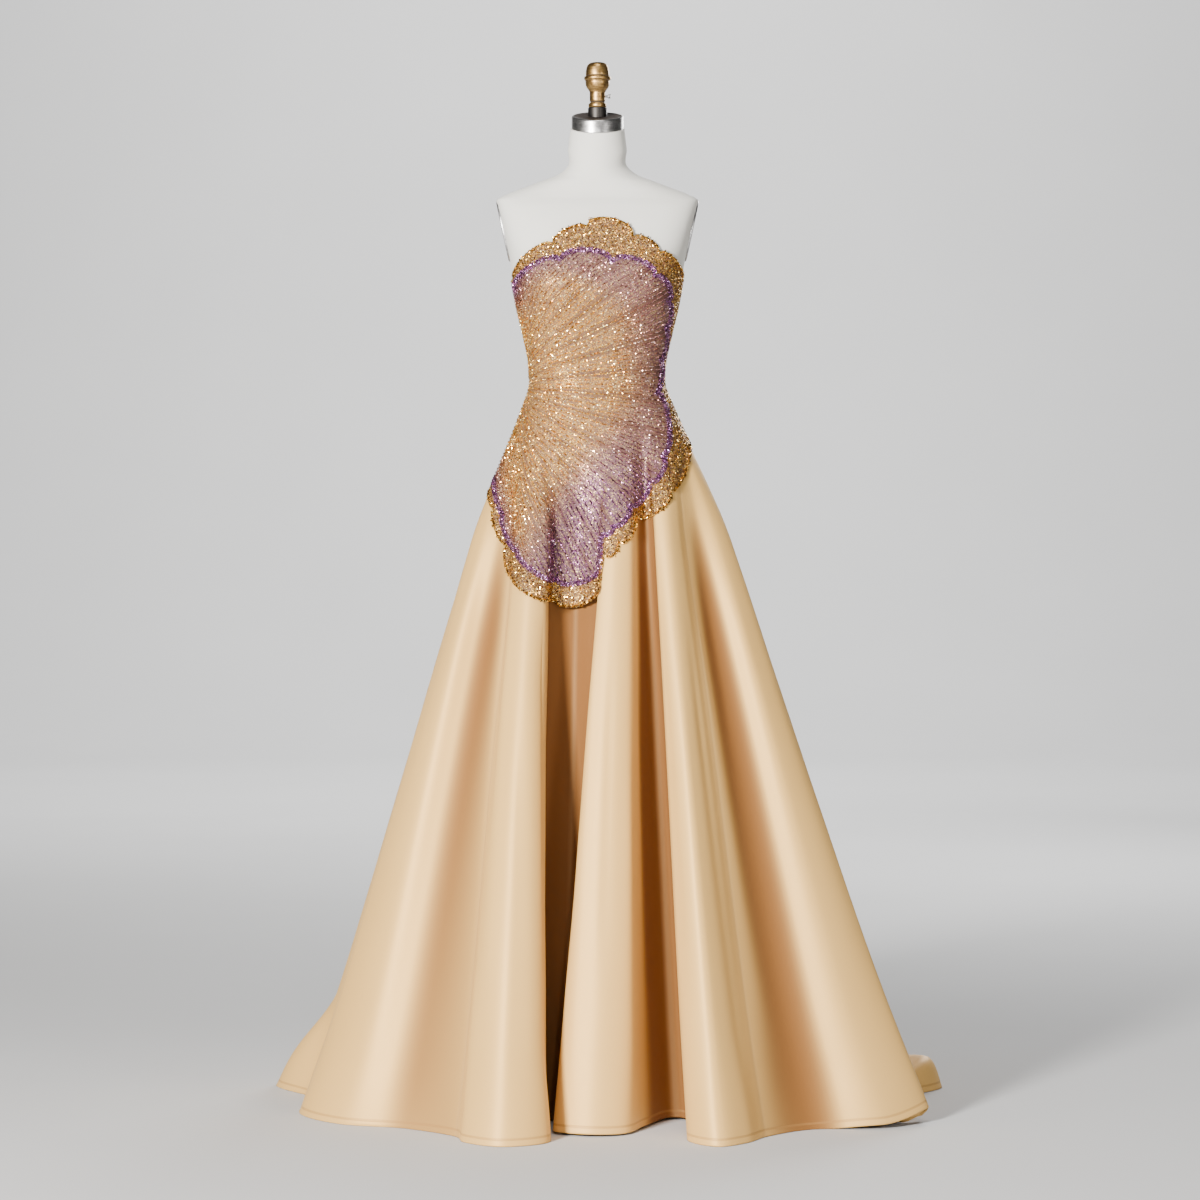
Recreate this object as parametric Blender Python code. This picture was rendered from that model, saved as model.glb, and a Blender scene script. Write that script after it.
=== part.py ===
"""A strapless A-line evening gown on a limbless dress form.

The gown is a satin skirt of nine gores with deep folds and a sweep train, under a beaded
bodice that runs from the neckline to the hip: a lilac shell panel in front, a scalloped gold
border round it, and two plain gold back panels. The form stands on a pole and a round base.
Metres, +Z up, the front of the gown faces -Y, and the origin is under the base's centre.
A bearing is an angle round the body: 0 in front, 90 on the +X side, 180 behind.
"""

import math

import bmesh
import bpy
import numpy as np

# Driving sizes
WAIST_HEIGHT = 1.279
SEAM_GAP = 0.0003
SATIN_WALL = 0.0016
BEADED_WALL = 0.0018
LAYER_GAP = 0.0009
BODY_EASE = 0.0012
LEFT_SIDE_SEAM = "left_tuck"
RIGHT_SIDE_SEAM = "right_return"
BUST_HEIGHT = 1.455
BUST_RISE = 0.010
BUST_BEARING = 36.0

# The form, from the bottom of its hips to the top of its neck. Squareness 2 is an ellipse.
# Lean is how far a ring rises towards the back for each metre.
FORM_COLUMNS = ("height", "half_width", "front", "back", "squareness", "lean")
FORM_SECTIONS = (
    (0.930, 0.120, 0.082, 0.092, 2.2, 0.0),
    (0.945, 0.140, 0.096, 0.108, 2.2, 0.0),
    (1.010, 0.155, 0.102, 0.122, 2.2, 0.0),
    (1.090, 0.156, 0.100, 0.124, 2.2, 0.0),
    (1.180, 0.140, 0.094, 0.110, 2.2, 0.0),
    (1.240, 0.123, 0.090, 0.092, 2.2, 0.0),
    (1.279, 0.1175, 0.090, 0.082, 2.3, 0.0),
    (1.325, 0.1205, 0.096, 0.080, 2.4, 0.0),
    (1.375, 0.1315, 0.106, 0.084, 2.4, 0.0),
    (1.425, 0.1435, 0.119, 0.090, 2.4, 0.0),
    (1.460, 0.1500, 0.124, 0.094, 2.4, 0.0),
    (1.495, 0.1550, 0.117, 0.096, 2.6, 0.0),
    (1.535, 0.1630, 0.100, 0.096, 3.0, 0.0),
    (1.580, 0.1730, 0.080, 0.092, 3.2, 0.0),
    (1.606, 0.1790, 0.066, 0.087, 3.0, 0.0),
    (1.617, 0.1805, 0.058, 0.081, 2.7, 0.0),
    (1.628, 0.1600, 0.053, 0.077, 2.4, 0.0),
    (1.640, 0.1290, 0.051, 0.073, 2.2, 0.03),
    (1.651, 0.1010, 0.050, 0.069, 2.1, 0.07),
    (1.661, 0.0740, 0.050, 0.062, 2.0, 0.12),
    (1.672, 0.0585, 0.050, 0.056, 2.0, 0.17),
    (1.710, 0.0528, 0.050, 0.050, 2.0, 0.24),
    (1.7453, 0.0485, 0.050, 0.046, 2.0, 0.27),
)
FORM_SIDES = 32
NECK_LEAN = 0.27

# How far out a column of the skirt is, share of the way down from its waist to its hem.
FLARE_COLUMNS = ("down", "out")
FLARE = (
    (0.000, 0.000),
    (0.0735, 0.105),
    (0.116, 0.160),
    (0.158, 0.206),
    (0.242, 0.286),
    (0.327, 0.365),
    (0.457, 0.486),
    (0.591, 0.607),
    (0.726, 0.727),
    (0.862, 0.853),
    (1.000, 1.000),
)
# The skirt's folds round the hem, from the centre back past the left side, the front and the
# right side. Waist is the bearing where the fold starts. X and y are where the cloth meets the
# floor, and lift is how far the hem is above it. Trail is the cloth that runs on along the
# floor, bend is how high it starts to turn outwards and roll is how high it bulges there.
FOLD_COLUMNS = ("waist", "x", "y", "lift", "trail", "bend", "roll")
SKIRT_FOLDS = (
    ("back_crest", (-180, 0.000, 0.600, 0.012, 0.300, 0.16, 0.032)),
    ("back_left_trough", (-165, -0.130, 0.480, 0.0, 0.400, 0.16, 0.0)),
    ("back_left_crest", (-151, -0.270, 0.545, 0.014, 0.310, 0.16, 0.032)),
    ("rear_left_trough", (-139, -0.345, 0.400, 0.0, 0.330, 0.16, 0.0)),
    ("rear_left_crest", (-127, -0.445, 0.425, 0.008, 0.165, 0.15, 0.020)),
    ("side_left_trough", (-116, -0.478, 0.275, 0.0, 0.105, 0.12, 0.0)),
    ("train_left_crest", (-107, -0.541, 0.145, 0.0, 0.053, 0.18, 0.034)),
    ("left_tuck", (-99, -0.500, -0.005, 0.0, 0.012, 0.05, 0.0)),
    ("left_edge", (-91, -0.523, -0.165, 0.0, 0.0, 0.0, 0.0)),
    ("left_panel_crest", (-86, -0.446, -0.278, 0.0, 0.0, 0.0, 0.0)),
    ("left_panel_trough", (-80, -0.330, -0.326, 0.0, 0.0, 0.0, 0.0)),
    ("left_panel_end", (-74, -0.239, -0.404, 0.0, 0.0, 0.0, 0.0)),
    ("first_fold_left", (-69, -0.224, -0.456, 0.0, 0.0, 0.0, 0.0)),
    ("first_fold_crest", (-60, -0.160, -0.501, 0.0, 0.0, 0.0, 0.0)),
    ("first_fold_right", (-50, -0.084, -0.464, 0.0, 0.0, 0.0, 0.0)),
    ("deep_valley_left", (-44, -0.082, -0.385, 0.0, 0.0, 0.0, 0.0)),
    ("deep_valley_corner", (-32, -0.102, -0.285, 0.0, 0.0, 0.0, 0.0)),
    ("deep_valley_floor", (-12, -0.058, -0.236, 0.004, 0.0, 0.0, 0.0)),
    ("deep_valley_right", (6, -0.038, -0.300, 0.004, 0.0, 0.0, 0.0)),
    ("front_fold_left", (16, -0.076, -0.368, 0.004, 0.0, 0.0, 0.0)),
    ("front_fold_crest", (21, -0.014, -0.404, 0.004, 0.0, 0.0, 0.0)),
    ("front_fold_right", (27, 0.047, -0.388, 0.003, 0.0, 0.0, 0.0)),
    ("second_valley_left", (30, 0.082, -0.318, 0.004, 0.0, 0.0, 0.0)),
    ("second_valley_floor", (33, 0.134, -0.236, 0.005, 0.0, 0.0, 0.0)),
    ("second_valley_right", (37, 0.162, -0.290, 0.002, 0.0, 0.0, 0.0)),
    ("third_fold_left", (42, 0.154, -0.450, 0.0, 0.0, 0.0, 0.0)),
    ("third_fold_crest", (51, 0.202, -0.500, 0.0, 0.0, 0.0, 0.0)),
    ("third_fold_right", (59, 0.252, -0.462, 0.0, 0.0, 0.0, 0.0)),
    ("right_panel_start", (64, 0.285, -0.405, 0.0, 0.0, 0.0, 0.0)),
    ("right_panel_trough", (72, 0.370, -0.335, 0.0, 0.0, 0.0, 0.0)),
    ("right_panel_crest", (79, 0.488, -0.328, 0.008, 0.0, 0.0, 0.0)),
    ("right_corner", (85, 0.574, -0.252, 0.026, 0.0, 0.0, 0.0)),
    ("right_tuck_edge", (87, 0.563, -0.234, 0.008, 0.0, 0.0, 0.0)),
    ("right_tuck_front", (90, 0.528, -0.258, 0.0, 0.0, 0.0, 0.0)),
    ("right_tuck", (94, 0.512, -0.140, 0.0, 0.0, 0.0, 0.0)),
    ("right_return", (99, 0.545, 0.010, 0.0, 0.010, 0.03, 0.0)),
    ("train_right_curl", (107, 0.582, 0.125, 0.0, 0.052, 0.05, 0.045)),
    ("side_right_trough", (116, 0.492, 0.275, 0.0, 0.105, 0.12, 0.0)),
    ("rear_right_crest", (127, 0.458, 0.425, 0.010, 0.160, 0.15, 0.022)),
    ("rear_right_trough", (139, 0.355, 0.405, 0.0, 0.325, 0.16, 0.0)),
    ("back_right_crest", (151, 0.270, 0.550, 0.012, 0.305, 0.16, 0.034)),
    ("back_right_trough", (165, 0.130, 0.485, 0.0, 0.395, 0.16, 0.0)),
)
# Each gore runs from the seam at one fold to the seam at the next one named here.
GORES = (
    ("gore_back_left", "back_crest"),
    ("gore_rear_left", "rear_left_trough"),
    ("gore_side_left", "left_tuck"),
    ("gore_front_left", "left_panel_end"),
    ("gore_front_centre", "deep_valley_floor"),
    ("gore_front_right", "second_valley_floor"),
    ("gore_side_right", "right_panel_start"),
    ("gore_rear_right", "right_tuck"),
    ("gore_back_right", "rear_right_trough"),
)
FRONT_STEP = 0.044
BACK_STEP = 0.062
WIDEST_STEP = 9.5
FOLD_START = 0.0
FOLD_FULL = 0.22
BASE_SPREAD = 22.0
HIP_HEIGHTS = (WAIST_HEIGHT, 1.235, 1.175, 1.10, 1.02, 0.94, 0.86)
LOWER_SHARES = (0.32, 0.62, 0.83, 0.93, 0.97, 1.0)
LIFT_START = 0.40
TRAIN_REACH = 0.16

# Scallops in the front view. Each row is the notch where a scallop starts, its x and its
# height, and how far the scallop swells outwards on its way to the next notch.
SCALLOP_COLUMNS = ("x", "height", "swell")
BORDER_SCALLOPS = (
    (-0.250, 1.470, 0.0),
    (-0.152, 1.472, 0.016),
    (-0.080, 1.533, 0.012),
    (-0.020, 1.564, 0.024),
    (0.064, 1.545, 0.011),
    (0.110, 1.517, 0.013),
    (0.154, 1.472, 0.0),
    (0.250, 1.470, 0.0),
    (0.250, 1.193, 0.0),
    (0.163, 1.190, 0.016),
    (0.131, 1.092, 0.017),
    (0.066, 1.046, 0.014),
    (0.037, 1.000, 0.010),
    (0.012, 0.976, 0.0),
    (0.006, 0.934, 0.028),
    (-0.078, 0.901, 0.012),
    (-0.150, 0.938, 0.009),
    (-0.162, 0.996, 0.010),
    (-0.186, 1.060, 0.009),
    (-0.194, 1.132, 0.0),
    (-0.260, 1.132, 0.0),
)
SHELL_SCALLOPS = (
    (-0.260, 1.446, 0.0),
    (-0.153, 1.452, 0.018),
    (-0.066, 1.504, 0.020),
    (0.026, 1.500, 0.018),
    (0.103, 1.476, 0.014),
    (0.128, 1.430, 0.008),
    (0.124, 1.383, 0.007),
    (0.115, 1.326, 0.006),
    (0.108, 1.268, 0.017),
    (0.118, 1.155, 0.012),
    (0.094, 1.105, 0.010),
    (0.058, 1.064, 0.009),
    (0.030, 1.028, 0.006),
    (0.010, 1.014, 0.0),
    (0.006, 0.957, 0.018),
    (-0.074, 0.935, 0.012),
    (-0.142, 0.985, 0.009),
    (-0.170, 1.050, 0.008),
    (-0.188, 1.150, 0.0),
    (-0.260, 1.150, 0.0),
)
SCALLOP_STEP = 0.015

# The back panels' outline, in the same view, with the bottom edge in scallops.
BACK_SCALLOPS = (
    (-0.250, 1.470, 0.0),
    (-0.152, 1.468, 0.0),
    (-0.105, 1.441, -0.002),
    (-0.050, 1.424, -0.002),
    (0.050, 1.424, -0.002),
    (0.105, 1.441, 0.0),
    (0.152, 1.468, 0.0),
    (0.250, 1.470, 0.0),
    (0.250, 1.193, 0.0),
    (0.180, 1.192, 0.010),
    (0.128, 1.162, 0.012),
    (0.064, 1.138, 0.012),
    (0.0, 1.124, 0.012),
    (-0.066, 1.120, 0.012),
    (-0.134, 1.124, 0.010),
    (-0.192, 1.132, 0.0),
    (-0.250, 1.132, 0.0),
)
BODICE_ROWS = (1.325, 1.375, 1.425, 1.46, 1.495, 1.535, 1.58, 1.606)

# Neck cap, finial, arm plates, pole and base
CAP_RADIUS = 0.0466
CAP_HEIGHT = 0.023
CAP_EDGE = 0.003
COLLAR_RADIUS = 0.0172
FINIAL_BOTTOM = 1.7830
FINIAL_PROFILE = (
    (0.0000, 0.0145),
    (0.0020, 0.0162),
    (0.0070, 0.0157),
    (0.0090, 0.0130),
    (0.0108, 0.0128),
    (0.0126, 0.0141),
    (0.0268, 0.0141),
    (0.0304, 0.0152),
    (0.0340, 0.0180),
    (0.0376, 0.0202),
    (0.0430, 0.0215),
    (0.0488, 0.0219),
    (0.0504, 0.0239),
    (0.0530, 0.0243),
    (0.0556, 0.0237),
    (0.0570, 0.0212),
    (0.0592, 0.0212),
    (0.0664, 0.0208),
    (0.0736, 0.0195),
    (0.0786, 0.0164),
    (0.0812, 0.0110),
    (0.0820, 0.0050),
)
SCREW_HEIGHT = 1.8035
SCREW_RADIUS = 0.0020
SCREW_HEAD_RADIUS = 0.0038
SCREW_REACH = 0.0240
PLATE_CENTRE = (0.1655, 0.004, 1.5620)
PLATE_HALF_LENGTH = 0.056
PLATE_HALF_WIDTH = 0.030
PLATE_THICKNESS = 0.012
PLATE_TILT = 12.0
POLE_RADIUS = 0.0125
BASE_RADIUS = 0.170
BASE_PROFILE = (
    (0.0000, 1.000),
    (0.0060, 1.000),
    (0.0100, 0.975),
    (0.0150, 0.820),
    (0.0190, 0.500),
    (0.0230, 0.220),
    (0.0300, 0.160),
)


def material(name, colour, roughness, metallic):
    made = bpy.data.materials.new(name)
    made.use_nodes = True
    shader = made.node_tree.nodes["Principled BSDF"]
    shader.inputs["Base Color"].default_value = (*colour, 1.0)
    shader.inputs["Roughness"].default_value = roughness
    shader.inputs["Metallic"].default_value = metallic
    return made


def add_object(name, mesh, finish):
    obj = bpy.data.objects.new(name, mesh)
    bpy.context.scene.collection.objects.link(obj)
    mesh.materials.clear()
    mesh.materials.append(finish)
    mesh.shade_smooth()
    mesh.set_sharp_from_angle(angle=math.radians(40))
    return obj


def mesh_from(name, points, faces):
    mesh = bpy.data.meshes.new(name)
    mesh.from_pydata([tuple(p) for p in points], [], faces)
    mesh.validate()
    return mesh


# The body


def read_table(table, columns, value):
    """A row at a value of the table's first column, on a smooth curve through its rows."""
    rows = np.array(table)
    keys = rows[:, 0]
    slopes = np.gradient(rows, keys, axis=0)
    i = int(np.clip(np.searchsorted(keys, value) - 1, 0, len(keys) - 2))
    span = keys[i + 1] - keys[i]
    t = np.clip((value - keys[i]) / span, 0.0, 1.0)
    start = (2 * t**3 - 3 * t**2 + 1) * rows[i] + (t**3 - 2 * t**2 + t) * span * slopes[i]
    end = (3 * t**2 - 2 * t**3) * rows[i + 1] + (t**3 - t**2) * span * slopes[i + 1]
    return dict(zip(columns, start + end))


def body_point(bearing, height, out=0.0):
    """A point on the form at a bearing in degrees, moved outwards by out."""
    ring = read_table(FORM_SECTIONS, FORM_COLUMNS, height)
    side, ahead = math.sin(math.radians(bearing)), math.cos(math.radians(bearing))
    power = 2.0 / ring["squareness"]
    depth = ring["front"] if ahead > 0 else ring["back"]
    x = math.copysign((ring["half_width"] + out) * abs(side) ** power, side)
    y = -math.copysign((depth + out) * abs(ahead) ** power, ahead)
    wrapped = (bearing + 180.0) % 360.0 - 180.0
    bust = math.exp(-(((abs(wrapped) - BUST_BEARING) / 20.0) ** 2))
    bust *= math.exp(-(((height - BUST_HEIGHT) / 0.048) ** 2))
    y -= BUST_RISE * bust
    return np.array((x, y, height + ring["lean"] * y))


# The skirt


def fold_rows():
    return np.array([row for _, row in SKIRT_FOLDS], float)


def centripetal(p0, p1, p2, p3, share):
    """A point between p1 and p2 on a centripetal Catmull-Rom curve."""
    k0 = 0.0
    k1 = k0 + math.sqrt(np.linalg.norm(p1 - p0))
    k2 = k1 + math.sqrt(np.linalg.norm(p2 - p1))
    k3 = k2 + math.sqrt(np.linalg.norm(p3 - p2))
    k = k1 + (k2 - k1) * share
    a1 = (k1 - k) / (k1 - k0) * p0 + (k - k0) / (k1 - k0) * p1
    a2 = (k2 - k) / (k2 - k1) * p1 + (k - k1) / (k2 - k1) * p2
    a3 = (k3 - k) / (k3 - k2) * p2 + (k - k2) / (k3 - k2) * p3
    b1 = (k2 - k) / (k2 - k0) * a1 + (k - k0) / (k2 - k0) * a2
    b2 = (k3 - k) / (k3 - k1) * a2 + (k - k1) / (k3 - k1) * a3
    return (k2 - k) / (k2 - k1) * b1 + (k - k1) / (k2 - k1) * b2


def hem_samples():
    """The hem in plan, a row for each column of the skirt's mesh, and where each fold starts."""
    rows = fold_rows()
    count = len(rows)
    samples, starts = [], {}
    for i, (name, _) in enumerate(SKIRT_FOLDS):
        around = [rows[(i + k) % count] for k in (-1, 0, 1, 2)]
        plan = [row[1:3] for row in around]
        turn = 360.0 if i == count - 1 else 0.0
        pitch = FRONT_STEP if abs(around[1][0]) < 95 else BACK_STEP
        turned_by = around[2][0] + turn - around[1][0]
        steps = round(np.linalg.norm(plan[2] - plan[1]) / pitch)
        steps = max(1, steps, math.ceil(turned_by / WIDEST_STEP))
        starts[name] = len(samples)
        for step in range(steps):
            share = step / steps
            x, y = centripetal(*plan, share)
            ease = share * share * (3 - 2 * share)
            waist = (1 - share) * around[1][0] + share * (around[2][0] + turn)
            rest = (1 - ease) * around[1][3:] + ease * around[2][3:]
            samples.append((waist, x, y, *rest))
    return np.array(samples), starts


def base_curve(samples):
    """The hem with its folds smoothed away, by a bell-shaped average over the waist bearings."""
    bearings = np.radians(samples[:, 0])
    widths = (np.roll(bearings, -1) - np.roll(bearings, 1)) % (2 * math.pi) / 2
    apart = bearings[:, None] - bearings[None, :]
    apart = (apart + math.pi) % (2 * math.pi) - math.pi
    spread = math.radians(BASE_SPREAD)
    weights = np.exp(-0.5 * (apart / spread) ** 2) * widths[None, :]
    weights /= weights.sum(axis=1, keepdims=True)
    plan = samples[:, 1:3]
    middle = (plan * widths[:, None]).sum(axis=0) / widths.sum()
    return middle + (weights @ plan - middle) / math.exp(-0.5 * spread**2)


def smooth_step(value, low, high):
    t = np.clip((value - low) / (high - low), 0.0, 1.0)
    return t * t * (3 - 2 * t)


class Skirt:
    """The skirt's outer surface: a column for each sample of the hem, read at any height."""

    def __init__(self):
        self.samples, self.starts = hem_samples()
        self.base = base_curve(self.samples)
        self.waist = np.array(
            [body_point(s[0], WAIST_HEIGHT, SATIN_WALL + BODY_EASE)[:2] for s in self.samples]
        )

    def plan(self, column, share):
        """X and y of a column, share of the way down from the waist to the floor."""
        flare = read_table(FLARE, FLARE_COLUMNS, share)["out"]
        folds = float(smooth_step(share, FOLD_START, FOLD_FULL)) * flare
        waist, base = self.waist[column], self.base[column]
        return waist + flare * (base - waist) + folds * (self.samples[column, 1:3] - base)

    def at_height(self, column, height):
        share = (WAIST_HEIGHT - height) / WAIST_HEIGHT
        return np.array((*self.plan(column, share), height))

    def hanging(self, column, share, lift=0.0):
        rise = lift * float(smooth_step(share, LIFT_START, 1.0))
        return np.array((*self.plan(column, share), WAIST_HEIGHT * (1 - share) + rise))

    def trailing(self, column, place):
        """A point of a column that bends onto the floor, place along the whole cloth."""
        lift, trail, bend, roll = self.samples[column, 3:7]
        foot = self.hanging(column, 1.0)
        drop = np.linalg.norm(foot - self.hanging(column, 0.0))
        reach = min(TRAIN_REACH, trail)
        start = (drop - bend) / drop
        if place <= start:
            return self.hanging(column, place)
        out = foot[:2] - self.waist[column]
        out = np.array((*(out / np.linalg.norm(out)), 0.0))
        past = place * drop - (drop - bend)
        t = min(1.0, past / (bend + reach))
        corner = (1 - t) ** 2 * self.hanging(column, start)
        point = corner + 2 * t * (1 - t) * foot + t * t * (foot + reach * out)
        point += max(0.0, past - bend - reach) * out
        run = min(1.0, past / (bend + trail))
        bulge = roll * math.sin(math.pi * run**1.1)
        point += 0.35 * bulge * out
        point[2] += bulge + lift * run**3
        return point

    def rows(self, column):
        """A column's points: at the hip heights, then shares of the cloth below them."""
        points = [self.at_height(column, height) for height in HIP_HEIGHTS]
        upper = 1.0 - HIP_HEIGHTS[-1] / WAIST_HEIGHT
        trail = self.samples[column, 4]
        drop = np.linalg.norm(self.hanging(column, 1.0) - self.hanging(column, 0.0))
        end = 1.0 + trail / drop
        for share in LOWER_SHARES:
            place = upper + share * (end - upper)
            if trail > 0.001:
                points.append(self.trailing(column, place))
            else:
                points.append(self.hanging(column, place, self.samples[column, 3]))
        return points


def grid_normals(grid):
    """Outward normals of a grid of points, rows running down and columns counterclockwise."""
    down = np.gradient(grid, axis=0)
    across = np.gradient(grid, axis=1)
    normals = np.cross(down, across)
    return normals / np.linalg.norm(normals, axis=2, keepdims=True)


def wall_mesh(name, outer, inner):
    """A closed wall between two grids of points with the same rows and columns.

    Every wall is split along the same diagonals, so that layers stay apart where they twist.
    """
    rows, columns = outer.shape[:2]
    points = np.concatenate([outer.reshape(-1, 3), inner.reshape(-1, 3)])
    half = rows * columns

    def at(r, c, side=0):
        return side * half + r * columns + c

    faces = []
    for r in range(rows - 1):
        for c in range(columns - 1):
            faces.append((at(r, c), at(r + 1, c), at(r + 1, c + 1)))
            faces.append((at(r, c), at(r + 1, c + 1), at(r, c + 1)))
            faces.append((at(r, c, 1), at(r + 1, c + 1, 1), at(r + 1, c, 1)))
            faces.append((at(r, c, 1), at(r, c + 1, 1), at(r + 1, c + 1, 1)))
    for c in range(columns - 1):
        faces.append((at(0, c), at(0, c + 1), at(0, c + 1, 1), at(0, c, 1)))
        last = rows - 1
        faces.append((at(last, c), at(last, c, 1), at(last, c + 1, 1), at(last, c + 1)))
    for r in range(rows - 1):
        faces.append((at(r, 0), at(r, 0, 1), at(r + 1, 0, 1), at(r + 1, 0)))
        last = columns - 1
        faces.append((at(r, last), at(r + 1, last), at(r + 1, last, 1), at(r, last, 1)))
    return mesh_from(name, points, faces)


def seam_inset(grid):
    """Moves the first and last columns in by half the seam gap."""
    for edge, beside in ((0, 1), (-1, -2)):
        step = grid[:, beside] - grid[:, edge]
        step /= np.linalg.norm(step, axis=1, keepdims=True)
        grid[:, edge] += step * SEAM_GAP / 2
    return grid


def build_gores(skirt, satin):
    count = len(skirt.samples)
    surface = np.array([skirt.rows(c % count) for c in range(count + 1)]).swapaxes(0, 1)
    padded = np.concatenate([surface[:, -2:-1], surface, surface[:, 1:2]], axis=1)
    normals = grid_normals(padded)[:, 1:-1]
    inner = surface - SATIN_WALL * normals
    surface[..., 2] = np.maximum(surface[..., 2], SATIN_WALL * np.clip(normals[..., 2], 0, 1))
    inner[..., 2] = np.maximum(inner[..., 2], 0.0)
    marks = [skirt.starts[start] for _, start in GORES] + [count]
    for (name, _), first, last in zip(GORES, marks[:-1], marks[1:]):
        columns = slice(first, last + 1)
        outer_part = seam_inset(surface[:, columns].copy())
        inner_part = seam_inset(inner[:, columns].copy())
        add_object(name, wall_mesh(name, outer_part, inner_part), satin)


# The beaded bodice


def bodice_out(height):
    """How far the surface that the bodice lies on stands off the form, above the waist."""
    over_skirt = (SATIN_WALL + LAYER_GAP) * math.exp(-(height - WAIST_HEIGHT) / 0.025)
    neckline = 0.006 * float(smooth_step(height, 1.47, 1.59))
    return BODY_EASE - LAYER_GAP + over_skirt + neckline


def bodice_grid(skirt, columns, heights):
    """The bodice's inner face: on the skirt's own columns below the waist, on the form above."""
    grid = np.zeros((len(heights), len(columns), 3))
    for r, height in enumerate(heights):
        for c, column in enumerate(columns):
            if height <= WAIST_HEIGHT:
                grid[r, c] = skirt.at_height(column, height)
            else:
                bearing = skirt.samples[column, 0]
                grid[r, c] = body_point(bearing, height, bodice_out(height))
    return grid


def bodice_wall(skirt, name, columns):
    """The bodice's wall over the whole height, before its edges are cut."""
    heights = sorted({*HIP_HEIGHTS, *BODICE_ROWS}, reverse=True)
    count = len(skirt.samples)
    around = [columns[0] - 1, *columns, columns[-1] + 1]
    face = bodice_grid(skirt, [c % count for c in around], heights)
    normals = grid_normals(face)[:, 1:-1]
    face = face[:, 1:-1]
    inner = seam_inset(face + LAYER_GAP * normals)
    outer = seam_inset(face + (LAYER_GAP + BEADED_WALL) * normals)
    return wall_mesh(name, outer, inner)


def scalloped_loop(scallops, grow=0.0):
    """A closed front-view outline, an arc for each scallop, moved outwards by grow."""
    rows = np.array(scallops)
    points = []
    for row, after in zip(rows, np.roll(rows, -1, axis=0)):
        start, end = row[:2], after[:2]
        length = np.linalg.norm(end - start)
        steps = max(1, round(length / SCALLOP_STEP)) if row[2] else 1
        away = np.array((-(end - start)[1], (end - start)[0])) / length
        for step in range(steps):
            share = step / steps
            swell = row[2] * math.sqrt(max(0.0, 1 - (2 * share - 1) ** 2))
            points.append(start + share * (end - start) + swell * away)
    points = np.array(points)
    if grow:
        tangent = np.roll(points, -1, axis=0) - np.roll(points, 1, axis=0)
        away = np.stack([-tangent[:, 1], tangent[:, 0]], axis=1)
        points = points + grow * away / np.linalg.norm(away, axis=1, keepdims=True)
    return points


def scallop_cutter(name, scallops, grow=0.0):
    """The outline as a block that runs from the front of the gown to its back."""
    loop = scalloped_loop(scallops, grow)
    count = len(loop)
    points = [(x, y, z) for y in (-0.7, 0.7) for x, z in loop]
    faces = [tuple(range(count)), tuple(reversed(range(count, 2 * count)))]
    faces += [(i, i + count, (i + 1) % count + count, (i + 1) % count) for i in range(count)]
    mesh = mesh_from(name, points, faces)
    shape = bmesh.new()
    shape.from_mesh(mesh)
    bmesh.ops.recalc_face_normals(shape, faces=shape.faces)
    shape.to_mesh(mesh)
    shape.free()
    cutter = bpy.data.objects.new(name, mesh)
    bpy.context.scene.collection.objects.link(cutter)
    cutter.hide_render = True
    cutter.display_type = "WIRE"
    return cutter


def largest_island(mesh):
    """Deletes all but the largest connected piece, which drops slivers that a cut leaves."""
    shape = bmesh.new()
    shape.from_mesh(mesh)
    left, islands = set(shape.verts), []
    while left:
        todo, island = [left.pop()], set()
        while todo:
            vert = todo.pop()
            island.add(vert)
            near = {edge.other_vert(vert) for edge in vert.link_edges} & left
            left -= near
            todo += near
        islands.append(island)
    islands.sort(key=len)
    for island in islands[:-1]:
        bmesh.ops.delete(shape, geom=list(island), context="VERTS")
    shape.to_mesh(mesh)
    shape.free()


def cut_bodice_piece(skirt, name, columns, cuts, finish):
    """The bodice's wall cut to outlines, each (operation, cutter)."""
    blank = bpy.data.objects.new(name + "_blank", bodice_wall(skirt, name, columns))
    bpy.context.scene.collection.objects.link(blank)
    for operation, cutter in cuts:
        modifier = blank.modifiers.new(operation.title(), "BOOLEAN")
        modifier.operation = operation
        modifier.solver = "EXACT"
        modifier.object = cutter
    bpy.context.view_layer.update()
    graph = bpy.context.evaluated_depsgraph_get()
    mesh = bpy.data.meshes.new_from_object(blank.evaluated_get(graph))
    bpy.data.objects.remove(blank)
    largest_island(mesh)
    return add_object(name, mesh, finish)


def build_bodice(skirt, lilac, gold):
    left, right = skirt.starts[LEFT_SIDE_SEAM], skirt.starts[RIGHT_SIDE_SEAM]
    count = len(skirt.samples)
    front = list(range(left, right + 1))
    border = scallop_cutter("cut_border", BORDER_SCALLOPS)
    shell = scallop_cutter("cut_shell", SHELL_SCALLOPS)
    shell_grown = scallop_cutter("cut_shell_grown", SHELL_SCALLOPS, SEAM_GAP)
    back = scallop_cutter("cut_back", BACK_SCALLOPS)
    cuts = [("INTERSECT", border), ("DIFFERENCE", shell_grown)]
    cut_bodice_piece(skirt, "shell_panel", front, [("INTERSECT", shell)], lilac)
    cut_bodice_piece(skirt, "gold_border", front, cuts, gold)
    cuts = [("INTERSECT", back)]
    cut_bodice_piece(skirt, "bodice_back_left", list(range(0, left + 1)), cuts, gold)
    cut_bodice_piece(skirt, "bodice_back_right", list(range(right, count + 1)), cuts, gold)


# The dress form


def ring_faces(rings, sides):
    """Faces of a closed loft: bottom cap, sides and top cap."""
    faces = [tuple(reversed(range(sides)))]
    for r in range(rings - 1):
        for i in range(sides):
            j = (i + 1) % sides
            low, high = r * sides, (r + 1) * sides
            faces.append((low + i, low + j, high + j, high + i))
    faces.append(tuple(range((rings - 1) * sides, rings * sides)))
    return faces


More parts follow.
